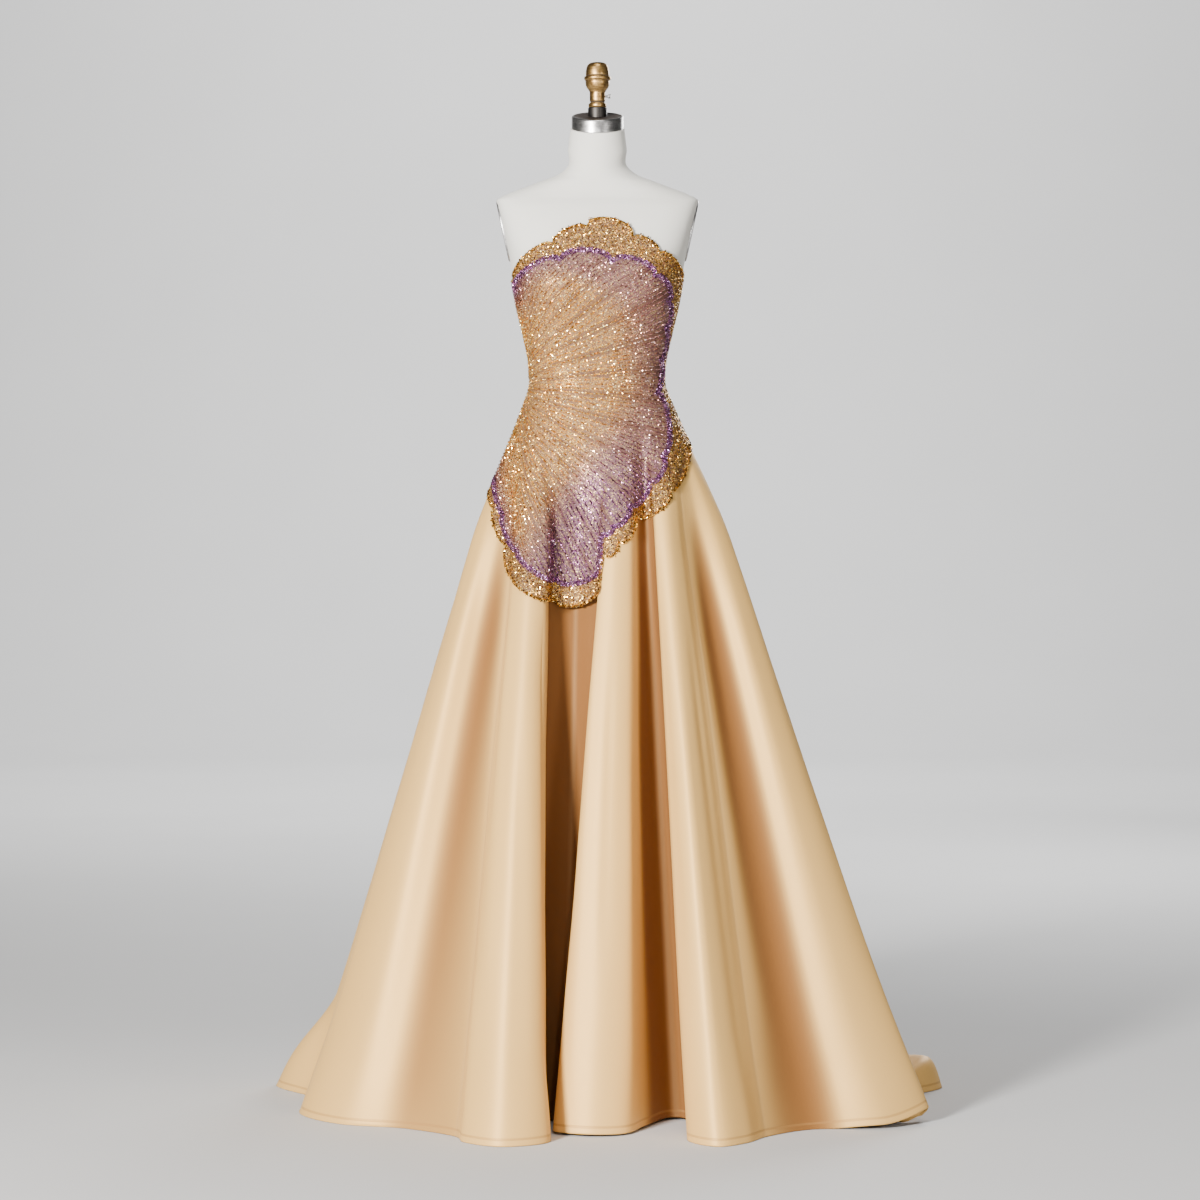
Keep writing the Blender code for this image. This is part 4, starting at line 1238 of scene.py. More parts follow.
def mix_net(name, gold, lilac, speck, row_pitch=0.0):
    """Fine net with specks of foil, gold to lilac, and darker between rows where it has any."""
    net = Finish(name)
    place = net.object_place()
    share = net.reading("lilac")
    foil = {"Vector": place, "Scale": FOIL_SCALE}
    cells = net.node("ShaderNodeTexVoronoi", {"feature": "F1"}, foil, "Distance")
    pick = net.node("ShaderNodeSeparateColor", {}, {"Color": cells.beside("Color")}, "Red")
    base = net.blend(share, gold, lilac)
    dots = net.step(cells, 0.62, 0.28)
    bright = net.blend(net.step(pick, 0.55, 1.0), base, speck)
    dark = net.blend(net.step(pick, 0.35, 0.0) * 0.8, bright, FOIL_DARK)
    colour = net.blend(dots * 0.85 + 0.10, NET_GROUND, dark)
    if row_pitch:
        fan = net.node("ShaderNodeCombineXYZ", {}, {"X": net.reading("fan")}, "Vector")
        between = net.wave(fan, 2 * math.pi / (20 * row_pitch), "X", 0.0)
        colour = net.blend(net.step(between, 0.60, 0.95) * 0.6, colour, ROW_SHADE)
    return net.surface(
        Base_Color=colour,
        Metallic=dots * 0.75,
        Roughness=0.62 - dots * 0.30,
        Normal=net.bump(dots, 0.0005, 0.8),
    )


panel_net = mix_net("panel_net", NET_GOLD, NET_LILAC, FOIL_PANEL, ROW_PITCH)
border_net = mix_net("border_net", NET_OCHRE, NET_OCHRE, FOIL_BORDER)


# %% Bead finishes
def mix_beads(name, gold_stops, lilac_stops, roughness):
    """Foil-backed beads, each with its own tone from one end of its colours to the other."""
    beads = Finish(name)
    tone = beads.reading("tone")
    share = beads.reading("lilac")
    gold = beads.ramp(tone, gold_stops)
    lilac = beads.ramp(tone, lilac_stops)
    worn = beads.noise(beads.object_place(), 900.0, 1.0)
    return beads.surface(
        Base_Color=beads.blend(share, gold, lilac),
        Metallic=0.92,
        Roughness=worn * 0.12 + roughness,
    )


GOLD_TONES = (
    (0.0, (0.05, 0.018, 0.004)),
    (0.35, (0.38, 0.16, 0.02)),
    (0.70, (0.84, 0.44, 0.07)),
    (1.0, (1.0, 0.76, 0.28)),
)
PEACH_TONES = (
    (0.0, (0.26, 0.085, 0.010)),
    (0.20, (0.80, 0.34, 0.04)),
    (0.55, (1.0, 0.58, 0.11)),
    (1.0, (1.0, 0.86, 0.46)),
)
LILAC_TONES = (
    (0.0, (0.05, 0.014, 0.04)),
    (0.30, (0.20, 0.06, 0.16)),
    (0.70, (0.40, 0.16, 0.28)),
    (1.0, (0.86, 0.58, 0.66)),
)
PLUM_TONES = (
    (0.0, (0.07, 0.018, 0.08)),
    (0.60, (0.33, 0.11, 0.30)),
    (1.0, (0.74, 0.44, 0.70)),
)
panel_beads = mix_beads("panel_beads", PEACH_TONES, LILAC_TONES, 0.16)
gold_sequins = mix_beads("gold_sequins", GOLD_TONES, GOLD_TONES, 0.14)
plum_beads = mix_beads("plum_beads", PLUM_TONES, PLUM_TONES, 0.18)


# %% [markdown]
# Some twenty thousand beads and sequins can't be placed one by one, so a tree of geometry nodes
# sets them. Its sizes are inputs with names, and its chance comes from a fixed seed, so every
# run gives the same beads. It ends by making the copies real, so that they can be kept as one
# plain mesh. Beads in rows stand on points that are worked out here, and sequins are scattered.

# %% A tree that sets beads on points
BEAD_SMALLEST = 0.78
BEAD_LARGEST = 1.22
TONE_SEED = 7.0


class BeadTree(Nodes):
    """A tree with named inputs that sets a small cut bead on each of its points."""

    def __init__(self, name, sizes):
        super().__init__(bpy.data.node_groups.new(name, "GeometryNodeTree"))
        sockets = self.tree.interface
        for way in ("INPUT", "OUTPUT"):
            sockets.new_socket("Geometry", in_out=way, socket_type="NodeSocketGeometry")
        self.identifiers = {}
        for key, value in sizes.items():
            kind = "NodeSocketInt" if isinstance(value, int) else "NodeSocketFloat"
            socket = sockets.new_socket(key, in_out="INPUT", socket_type=kind)
            socket.default_value = value
            self.identifiers[key] = socket.identifier

    def given(self, name):
        return self.node("NodeGroupInput", output=name)

    def chance(self, kind, inputs, seed, output):
        inputs = {**inputs, "Seed": seed}
        return self.node("FunctionNodeRandomValue", {"data_type": kind}, inputs, output)

    def plant(self, points, turn, finish):
        """A bead on each point, tilted, sized and toned by chance, as one plain mesh."""
        tilt, seed = self.given("Tilt"), self.given("Seed")
        ball = {"Segments": 5, "Rings": 2, "Radius": self.given("Bead radius")}
        bead = self.node("GeometryNodeMeshUVSphere", {}, ball, "Mesh")
        squash = {"X": 1.0, "Y": 1.0, "Z": self.given("Flatness")}
        squash = self.node("ShaderNodeCombineXYZ", {}, squash)
        flat = self.node("GeometryNodeTransform", {}, {"Geometry": bead, "Scale": squash})
        faceted = {"Geometry": flat, "Shade Smooth": False}
        facets = self.node("GeometryNodeSetShadeSmooth", {}, faceted)
        low = self.node("ShaderNodeCombineXYZ", {}, {"X": tilt * -1.0, "Y": tilt * -1.0})
        high = self.node("ShaderNodeCombineXYZ", {}, {"X": tilt, "Y": tilt, "Z": 2 * math.pi})
        spin = self.chance("FLOAT_VECTOR", {"Min": low, "Max": high}, seed, "Value")
        spin = self.node("FunctionNodeEulerToRotation", {}, {"Euler": spin})
        turned = {"Rotation": turn, "Rotate By": spin}
        turned = self.node("FunctionNodeRotateRotation", {"rotation_space": "LOCAL"}, turned)
        size = self.chance("FLOAT", {2: BEAD_SMALLEST, 3: BEAD_LARGEST}, seed, 1)
        planted = {"Points": points, "Instance": facets, "Rotation": turned, "Scale": size}
        beads = self.node("GeometryNodeInstanceOnPoints", {}, planted)
        tone = self.chance("FLOAT", {}, seed + TONE_SEED, 1)
        toned = {"Geometry": beads, "Name": "tone", "Value": tone}
        per_bead = {"data_type": "FLOAT", "domain": "INSTANCE"}
        toned = self.node("GeometryNodeStoreNamedAttribute", per_bead, toned)
        real = self.node("GeometryNodeRealizeInstances", {}, {"Geometry": toned})
        dressed = self.node("GeometryNodeSetMaterial", {}, {"Geometry": real, "Material": finish})
        self.node("NodeGroupOutput", {}, {"Geometry": dressed})


# %% Two ways to place beads
SIZE_NAMES = ("Bead radius", "Flatness", "Tilt", "Seed", "Apart", "Density")
# radius, flatness, tilt and seed and, where beads are scattered, distance apart and density
BEAD_SIZES = {
    "panel_row_beads": (0.00165, 0.8, 0.9, 3),
    "panel_sequins": (0.0013, 0.45, 0.75, 5, 0.0040, 15000.0),
    "border_sequins": (0.0017, 0.40, 0.85, 8, 0.0018, 260000.0),
    "panel_edge_beads": (0.00135, 0.9, 0.9, 12),
    "border_edge_beads": (0.0016, 0.9, 0.9, 15),
    "back_left_sequins": (0.0018, 0.40, 0.85, 21, 0.0022, 150000.0),
    "back_right_sequins": (0.0018, 0.40, 0.85, 22, 0.0022, 150000.0),
}


def string_beads(tree, finish):
    """Beads on the points of a mesh, each facing the way that its point says."""
    named = {"Name": "facing"}
    vector = {"data_type": "FLOAT_VECTOR"}
    facing = tree.node("GeometryNodeInputNamedAttribute", vector, named, "Attribute")
    align = tree.node("FunctionNodeAlignRotationToVector", {"axis": "Z"}, {"Vector": facing})
    tree.plant(tree.given("Geometry"), align, finish)


def scatter_sequins(tree, finish):
    """Sequins scattered over a surface, none too near the next."""
    inputs = {
        "Mesh": tree.given("Geometry"),
        "Distance Min": tree.given("Apart"),
        "Density Max": tree.given("Density"),
        "Seed": tree.given("Seed"),
    }
    spread = {"distribute_method": "POISSON"}
    points = tree.node("GeometryNodeDistributePointsOnFaces", spread, inputs, "Points")
    tree.plant(points, points.beside("Rotation"), finish)


def grow_beads(name, base, finish, nodes):
    """Runs a tree on a base object and keeps the beads as a plain mesh in its place."""
    sizes = dict(zip(SIZE_NAMES, BEAD_SIZES[name]))
    tree = BeadTree(name + "_tree", sizes)
    place_beads = scatter_sequins if "Density" in sizes else string_beads
    place_beads(tree, finish)
    modifier = base.modifiers.new("beads", "NODES")
    modifier.node_group = tree.tree
    for key, value in sizes.items():
        modifier[tree.identifiers[key]] = value
    mesh = evaluated(base)
    bpy.data.objects.remove(base)
    piece = show(name, mesh)
    finish_piece(piece, finish, nodes)
    return piece


# %% Bases for beads
def bead_points(name, points, normals, lilac=0.0):
    """Loose points, each with the way it faces and its share of lilac."""
    mesh = bpy.data.meshes.new(name)
    mesh.from_pydata(np.asarray(points).tolist(), [], [])
    base = show(name, mesh)
    layer = mesh.attributes.new("facing", "FLOAT_VECTOR", "POINT")
    layer.data.foreach_set("vector", np.asarray(normals, np.float32).ravel())
    add_value(base, "lilac", lilac)
    return base


def bead_ground(name, points, loop, outside=None, lilac=0.0):
    """The open outer face of a cloth, kept inside a loop, to scatter sequins on."""
    middles = (points[:-1, :-1] + points[1:, :-1] + points[1:, 1:] + points[:-1, 1:]) / 4
    keep = inside_loop(loop, middles[..., 0], middles[..., 2])
    if outside is not None:
        keep &= ~inside_loop(outside, middles[..., 0], middles[..., 2])
    base = add_mesh(name, points, quads_of(*points.shape[:2])[keep.ravel()])
    add_value(base, "lilac", lilac)
    return base


# %% [markdown]
# ## The shell panel
#
# The panel's net is cut to its scallops and gathered into the side seam at the waist, so soft
# gathers run out from there along the fan. Then come the beads: rows along the fan, with more
# rows put in wherever the fan has opened, and loose sequins between them.

# %% Points of cut cloths on the bodice's grid
def places_of(piece):
    spots = np.zeros(len(piece.data.vertices) * 3)
    piece.data.vertices.foreach_get("co", spots)
    return spots.reshape(-1, 3)


def declare_cut(piece, face):
    """Finds the grid points nearest to every third point of a cut cloth; the result is not kept.
    """
    grid = face.face.reshape(-1, 3)
    nearby = KDTree(len(grid))
    for i, point in enumerate(grid):
        nearby.insert(point, i)
    nearby.balance()
    on_grid = [nearby.find(place)[1] for place in places_of(piece)[::3]]


# %% The panel's cloth
NET_WALL = 0.0013
GATHER_PITCH = 0.0085
GATHER_HEIGHT = 0.0021
GATHER_REACH = 0.13
GATHER_BAND = 0.055
HIP_FOLD_HEIGHT = 0.0030
HIP_FOLD_HALF_WIDTH = 0.010
HIP_FOLD_X = -0.070
HIP_FOLD_DRIFT = 0.10
HIP_FOLD_TOP = 1.17


def gathers(run, height):
    """How far the gathers raise the panel: ridges that follow the fan and fade outwards."""
    row = fan_row(run, height)
    reach = np.exp(-((np.maximum(run - 0.02, 0.0) / GATHER_REACH) ** 2))
    reach = reach * smooth_step(run, -0.03, 0.02)
    near = np.exp(-((row / GATHER_BAND) ** 2))
    ridges = 0.5 + 0.5 * np.sin(2 * math.pi * row / GATHER_PITCH + 5.0 * np.sin(row * 160.0))
    return GATHER_HEIGHT * reach * near * ridges**1.5


def hip_fold(x, height):
    """A soft lengthwise fold in the panel below the hip, which drifts as it runs down."""
    line = HIP_FOLD_X - HIP_FOLD_DRIFT * (HIP_FOLD_TOP - height)
    fade = smooth_step(1.22 - height, 0.0, 0.08) * smooth_step(height, 0.92, 0.98)
    return HIP_FOLD_HEIGHT * fade * np.exp(-(((x - line) / HIP_FOLD_HALF_WIDTH) ** 2))


def run_at(face, runs, places):
    """Distance across the cloth for points seen from the front, row by row of the surface."""
    rows = np.interp(-places[:, 2], -face.heights, np.arange(len(face.heights)))
    found = np.zeros(len(places))
    for i, row in enumerate(np.round(rows).astype(int)):
        front = face.normals[row, :, 1] < 0
        found[i] = np.interp(places[i, 0], face.face[row, front, 0], runs[row, front])
    return found


heights = np.broadcast_to(front_face.heights[:, None], front_runs.shape)
panel_raise = gathers(front_runs, heights) + hip_fold(front_face.face[..., 0], heights)
front_inner = front_face.layer(LAYER_GAP)
panel_stand = (LAYER_GAP + NET_WALL + panel_raise)[..., None]
panel_outer = front_face.face + panel_stand * front_face.normals
shell_cloth = cut_cloth("shell_cloth", panel_outer, front_inner, [("INTERSECT", shell_loop)])
spots = places_of(shell_cloth)
add_value(shell_cloth, "lilac", lilac_share(spots[:, 0], spots[:, 2]))
add_value(shell_cloth, "fan", fan_row(run_at(front_face, front_runs, spots), spots[:, 2]))
finish_piece(shell_cloth, panel_net, ["shell_panel"])


# %% Rows of beads on the panel
BEAD_PITCH = 0.0027
BEAD_WANDER = 0.0003
BEAD_STAND = 0.0006
EDGE_FREE = 0.0030
FAN_LOWEST = -0.40
FAN_HIGHEST = 0.30
ROW_LEVELS = 4
ROW_CROWDING = 1.45


def fan_places(first, last):
    """Places of beads along the fan's rows, with extra rows wherever it opens."""
    runs, heights = [], []
    for level in range(ROW_LEVELS):
        gap = ROW_PITCH / 2**level
        for k in range(math.ceil(FAN_LOWEST / gap), math.floor(FAN_HIGHEST / gap) + 1):
            if level and k % 2 == 0:
                continue
            row = k * gap
            slope = FAN_SLOPE * math.tanh(row / FAN_TURN)
            run = np.arange(first, last, BEAD_PITCH / math.hypot(1.0, slope))
            run = run + 0.5 * BEAD_PITCH * (k % 2)
            height = FAN_HEIGHT + fan_rise(row, np.maximum(run, 0.0))
            wide = fan_spread(row, np.maximum(run, 0.0)) / math.hypot(1.0, slope)
            keep = wide * gap * 2 > ROW_CROWDING * ROW_PITCH if level else wide > 0
            runs.append(run[keep])
            heights.append(height[keep])
    return np.concatenate(runs), np.concatenate(heights)


BEADS_TOP = 1.60
BEADS_BOTTOM = 0.87
chance = np.random.default_rng(11)
run, height = fan_places(front_runs.min(), front_runs.max())
run = run + chance.normal(0.0, BEAD_WANDER, run.shape)
height = height + chance.normal(0.0, BEAD_WANDER, run.shape)
spots, facing, on = front_map.read(run, height)
on &= (height < BEADS_TOP) & (height > BEADS_BOTTOM)
on &= inside_loop(shell_loop, spots[:, 0], spots[:, 2])
on &= distance_to_loop(shell_loop[::2], spots[:, 0], spots[:, 2]) > EDGE_FREE
spots, facing, run, height = spots[on], facing[on], run[on], height[on]
stand = LAYER_GAP + NET_WALL + BEAD_STAND + gathers(run, height) + hip_fold(spots[:, 0], height)
spots = spots + stand[:, None] * facing
print("beads in rows:", len(spots))
strung = bead_points("row_beads", spots, facing, lilac_share(spots[:, 0], spots[:, 2]))
row_beads = grow_beads("panel_row_beads", strung, panel_beads, ["shell_panel"])

# %% Loose sequins on the panel
lilac = lilac_share(panel_outer[..., 0], panel_outer[..., 2])
ground = bead_ground("panel_ground", panel_outer, shell_loop, lilac=lilac)
loose = grow_beads("panel_sequins", ground, panel_beads, ["shell_panel"])

# %% [markdown]
# ## The gold border
#
# The border is a second net under the panel's edge, cut to larger scallops and packed with gold
# sequins. They are scattered so that no two lie nearer than half a sequin, which looks dense
# without piling up. A line of round beads finishes its outer edge.

# %% The border's cloth and sequins
shell_cut = scalloped_loop(SHELL_SCALLOPS, SEAM_GAP)
border_outer = front_face.layer(LAYER_GAP + NET_WALL)
cuts = [("INTERSECT", border_loop), ("DIFFERENCE", shell_cut)]
border_cloth = cut_cloth("border_cloth", border_outer, front_inner, cuts)
add_value(border_cloth, "lilac")
finish_piece(border_cloth, border_net, ["gold_border"])
ground = bead_ground("border_ground", border_outer, border_loop, shell_loop)
border_sequins = grow_beads("border_sequins", ground, gold_sequins, ["gold_border"])

# %% [markdown]
# ## Piping and edges
#
# A line of dark purple beads follows the panel's scallops. Its path is drawn in the front view,
# like the scallops, and then laid on the cloth: from each point a ray is cast straight back, and
# the bead goes where it first meets the cloth.

# %% Lay an outline on the cloth
RAY_START = 2.0
PLUM_PITCH = 0.0021
GOLD_PITCH = 0.0024
# shift outwards from the scallops, height over the cloth
PLUM_LINES = ((-0.0012, 0.0014), (-0.0036, 0.0012), (0.0012, 0.0012), (-0.0060, 0.0008))
GOLD_LINES = ((-0.0010, 0.0004), (-0.0032, 0.0012))


def laid_line(loop, points, pitch, shift, out):
    """Points along a front-view loop, laid on a grid of cloth, with the way they face."""
    tangent = np.roll(loop, -1, axis=0) - np.roll(loop, 1, axis=0)
    away = np.stack([-tangent[:, 1], tangent[:, 0]], axis=1)
    loop = loop + shift * away / np.linalg.norm(away, axis=1, keepdims=True)
    closed = np.concatenate([loop, loop[:1]])
    faces = quads_of(*points.shape[:2])
    tree = BVHTree.FromPolygons(points.reshape(-1, 3).tolist(), faces.tolist())
    length = run_along(closed)
    fine = np.arange(0.0, length[-1], pitch / 4)
    x, z = np.interp(fine, length, closed[:, 0]), np.interp(fine, length, closed[:, 1])
    hits, last = [], None
    for place in zip(x, z):
        hit, normal, _, _ = tree.ray_cast((place[0], -RAY_START, place[1]), (0, 1, 0))
        if hit is None:
            continue
        if last is None or (hit - last).length >= pitch:
            hits.append((*(hit + normal * out), *normal))
            last = hit
    hits = np.array(hits)
    return hits[:, :3], hits[:, 3:]


def bead_lines(name, loop, points, pitch, lines, finish, nodes):
    """Lines of beads beside an outline, grown as one piece."""
    laid = [laid_line(loop, points, pitch, shift, out) for shift, out in lines]
    spots, facing = (np.concatenate(parts) for parts in zip(*laid))
    print(name, "beads:", len(spots))
    return grow_beads(name, bead_points(name + "_points", spots, facing), finish, nodes)


plum = bead_lines(
    "panel_edge_beads", shell_loop, panel_outer, PLUM_PITCH, PLUM_LINES,
    plum_beads, ["shell_panel"],
)
edge = bead_lines(
    "border_edge_beads", border_loop, border_outer, GOLD_PITCH, GOLD_LINES,
    gold_sequins, ["gold_border"],
)
declare_cut(shell_cloth, front_face)
edge_length = np.linalg.norm(np.roll(border_loop, -1, axis=0) - border_loop, axis=1).sum()
declare_cut(border_cloth, front_face)

# %% [markdown]
# ## The back of the bodice
#
# Behind, two plain panels close the bodice and meet at the centre back. They are the same net
# and the same gold sequins, a little further apart, with the same scallops along the bottom.

# %% Back panels
BACK_TOP = 1.500
BACK_BOTTOM = 1.080
BACK_ROWS = 78
for name, first, last in (
    ("back_left", "back_crest", "left_tuck"),
    ("back_right", "right_return", "back_crest"),
):
    node = "bodice_" + name
    face = Bodice(bodice_curves, first, last, BACK_TOP, BACK_BOTTOM, BACK_ROWS)
    outer = face.layer(LAYER_GAP + NET_WALL)
    cloth = cut_cloth(name + "_cloth", outer, face.layer(LAYER_GAP), [("INTERSECT", back_loop)])
    add_value(cloth, "lilac")
    finish_piece(cloth, border_net, [node])
    ground = bead_ground(name + "_ground", outer, back_loop)
    sequins = grow_beads(name + "_sequins", ground, gold_sequins, [node])
    declare_cut(cloth, face)

# %% [markdown]
# ## The dress form
#
# The form is a stuffed body under a tight cotton cover. It is read from the same sections as
# before, only more finely, with a closed end at the hips and under the neck cap. Cotton is matt,
# and its weave shows only close up. Each arm plate sits in a recess, cut a hair larger than it.

# %% Cotton and metals
COTTON_SHADE = (0.62, 0.605, 0.55)
COTTON_LIGHT = (0.72, 0.70, 0.645)
COTTON_WEAVE = (0.58, 0.56, 0.50)
WEAVE_SCALE = 420.0
GRIME = (0.030, 0.020, 0.014)
# light tone, dark tone, roughness, how closely rings follow each other on X, Y and Z
STEEL = ((0.54, 0.53, 0.52), (0.26, 0.255, 0.25), 0.20, (40, 40, 1500))
BRASS = ((0.50, 0.31, 0.11), (0.17, 0.09, 0.03), 0.26, (60, 60, 900))
IRON = ((0.055, 0.050, 0.046), (0.022, 0.020, 0.019), 0.34, (30, 30, 30))


def mix_cotton():
    cotton = Finish("form_cotton")
    place = cotton.object_place()
    weave = cotton.wave(place, WEAVE_SCALE, "Z", 0.8) * cotton.wave(place, WEAVE_SCALE, "X", 0.8)
    cloudy = cotton.noise(place, 7.0, 3.0)
    base = cotton.blend(cloudy, COTTON_SHADE, COTTON_LIGHT)
    colour = cotton.blend(weave * 0.12, base, COTTON_WEAVE)
    return cotton.surface(
        Base_Color=colour,
        Roughness=0.78 + cloudy * 0.12,
        Normal=cotton.bump(weave, 0.0002, 0.5),
        Sheen_Weight=0.12,
    )


def mix_metal(name, light, dark, roughness, turning):
    """A turned metal: fine rings round it, and a darker tone that has settled unevenly."""
    metal = Finish(name)
    place = metal.object_place()
    rings = metal.noise(metal.stretched(place, turning), 1.0, 2.0)
    cloudy = metal.noise(place, 95.0, 4.0, 0.65)
    worn = metal.reading("groove")
    tone = metal.step(cloudy * 0.6 + rings * 0.4, 0.34, 0.62)
    base = metal.blend(tone, dark, light)
    colour = metal.blend(worn, base, GRIME)
    return metal.surface(
        Base_Color=colour,
        Metallic=1.0 - worn * 0.5,
        Roughness=rings * 0.16 + cloudy * 0.10 + worn * 0.30 + roughness,
        Normal=metal.bump(rings, 0.00003, 0.6),
    )


form_cotton = mix_cotton()
brushed_steel = mix_metal("brushed_steel", *STEEL)
aged_brass = mix_metal("aged_brass", *BRASS)
dark_iron = mix_metal("dark_iron", *IRON)
print("metals:", brushed_steel.name, aged_brass.name, dark_iron.name)

# %% Rings made into a closed body
TURNED_EDGE = math.radians(38)


def lofted(name, rings):
    """A closed solid through rings of points, from the lowest ring to the highest."""
    rings = np.asarray(rings)
    count, sides = rings.shape[:2]
    points = [tuple(p) for p in rings.reshape(-1, 3)]
    points += [tuple(rings[0].mean(axis=0)), tuple(rings[-1].mean(axis=0))]
    faces = []
    for r in range(count - 1):
        for i in range(sides):
            j = (i + 1) % sides
            low, high = r * sides, (r + 1) * sides
            faces.append((low + i, low + j, high + j, high + i))
    bottom, top, last = count * sides, count * sides + 1, (count - 1) * sides
    for i in range(sides):
        j = (i + 1) % sides
        faces.append((bottom, j, i))
        faces.append((top, last + i, last + j))
    mesh = bpy.data.meshes.new(name)
    mesh.from_pydata(points, [], faces)
    smooth_but_edges(mesh, TURNED_EDGE)
    return show(name, mesh)


def ring_angles(sides):
    return np.arange(sides) * 2 * math.pi / sides


# %% The covered body
SHOULDER_HEIGHT = 1.600
FORM_SIDES = 112
section_heights = [row[0] for row in FORM_SECTIONS]
form_heights = np.unique(np.concatenate([
    np.linspace(section_heights[0], SHOULDER_HEIGHT, 90),
    np.linspace(SHOULDER_HEIGHT, section_heights[-1], 56),
    section_heights,
]))
bearings = np.arange(FORM_SIDES) * 360.0 / FORM_SIDES
form_body = lofted("form_body", body_points(bearings[None, :], form_heights[:, None]))

# %% Arm plates in their recesses
PLATE_CENTRE = (0.1655, 0.004, 1.5620)
PLATE_HALF_LENGTH = 0.056
PLATE_HALF_WIDTH = 0.030
PLATE_HALF_WALL = 0.006
PLATE_TILT = math.radians(12.0)
PLATE_ROUND = 0.0022
RECESS_DEPTH = 0.004


def plate_rings(side, grow, rounds):
    """An arm plate: ovals from its hidden back to its face, which faces sideways and down."""
    angles = ring_angles(72)
    rings = []
    for out, share in rounds:
        y = PLATE_CENTRE[1] + (PLATE_HALF_WIDTH + grow) * share * np.cos(angles) * side
        up = (PLATE_HALF_LENGTH + grow) * share * np.sin(angles)
        x = PLATE_CENTRE[0] + out * math.cos(PLATE_TILT) + up * math.sin(PLATE_TILT)
        z = PLATE_CENTRE[2] - out * math.sin(PLATE_TILT) + up * math.cos(PLATE_TILT)
        rings.append(np.stack([side * x, y, z], axis=1))
    return rings


half = PLATE_HALF_WALL
plate_rounds = [(-half, 1.0)]
for turn in np.radians(np.linspace(0, 90, 7)):
    out = half - PLATE_ROUND + PLATE_ROUND * math.sin(turn)
    plate_rounds.append((out, 1 - 0.05 * (1 - math.cos(turn))))
plate_rounds += [(half - 0.0004, 0.80), (half - 0.0012, 0.55)]
recess_rounds = [(-half - SEAM_GAP, 1.0), (half + RECESS_DEPTH, 1.0)]
for side, name in ((-1, "arm_plate_left"), (1, "arm_plate_right")):
    plate = lofted(name + "_disc", plate_rings(side, 0.0, plate_rounds))
    add_value(plate, "groove")
    finish_piece(plate, brushed_steel, [name])
    recess = lofted("recess", plate_rings(side, SEAM_GAP, recess_rounds))
    form_body.data = cut_by(form_body, [("DIFFERENCE", recess)])
smooth_but_edges(form_body.data, CLOTH_EDGE)
finish_piece(form_body, form_cotton, ["form_torso"])

# %% [markdown]
# ## Turned metal
#
# The neck cap, the collar, the finial, the pole and the base are turned on a lathe. A profile,
# as heights and radii, is spun round an axis. Grooves are in the profile, and each ring also
# says how much grime it holds, which darkens the brass where a cloth never reaches.

# %% Spin a profile
NECK_LEAN = 0.27


def spun(name, profile, sides, centre, finish, nodes, lean=0.0, lean_rings=0):
    """A turned piece from rows of height, radius and grime; the lower rings may lean."""
    angles = ring_angles(sides)
    rings, grime = [], []
    for i, (height, radius, dirt) in enumerate(profile):
        x, y = radius * np.cos(angles), radius * np.sin(angles)
        leaning = lean if i < lean_rings else 0.0
        z = height + leaning * (y + centre[1])
        rings.append(np.stack([centre[0] + x, centre[1] + y, centre[2] + z], axis=1))
        grime += [dirt] * sides
    piece = lofted(name, rings)
    add_value(piece, "groove", grime + [profile[0][2], profile[-1][2]])
    finish_piece(piece, finish, nodes)
    return piece


# %% Neck cap and collar
CAP_BOTTOM = FORM_SECTIONS[-1][0] + SEAM_GAP
CAP_HEIGHT = 0.023
CAP_RADIUS = 0.0466
CAP_ROUND = 0.0030
FINIAL_BOTTOM = 1.7830
COLLAR_RADIUS = 0.0172
cap_profile = [
    (0.0, CAP_RADIUS - 0.0006, 0.0),
    (0.0006, CAP_RADIUS, 0.0),
    (CAP_HEIGHT - CAP_ROUND, CAP_RADIUS, 0.0),
]
for turn in np.radians(np.linspace(15, 90, 6)):
    height = CAP_HEIGHT - CAP_ROUND + CAP_ROUND * math.sin(turn)
    cap_profile.append((height, CAP_RADIUS - 0.0033 * (1 - math.cos(turn)), 0.0))
cap_profile += [
    (CAP_HEIGHT - 0.0002, CAP_RADIUS - 0.0040, 0.9),
    (CAP_HEIGHT - 0.0008, 0.030, 1.0),
    (CAP_HEIGHT - 0.0008, 0.018, 1.0),
]
spun(
    "neck_cap_turned", cap_profile, 96, (0, 0, CAP_BOTTOM), brushed_steel,
    ["neck_cap"], lean=NECK_LEAN, lean_rings=len(cap_profile),
)
cap_top = CAP_BOTTOM + CAP_HEIGHT
collar_height = FINIAL_BOTTOM - SEAM_GAP - cap_top
collar_profile = [
    (SEAM_GAP, COLLAR_RADIUS, 0.0),
    (collar_height - 0.0010, COLLAR_RADIUS, 0.0),
    (collar_height, COLLAR_RADIUS - 0.0008, 0.0),
]
spun(
    "collar_turned", collar_profile, 64, (0, 0, cap_top), dark_iron,
    ["finial_collar"], lean=NECK_LEAN, lean_rings=1,
)

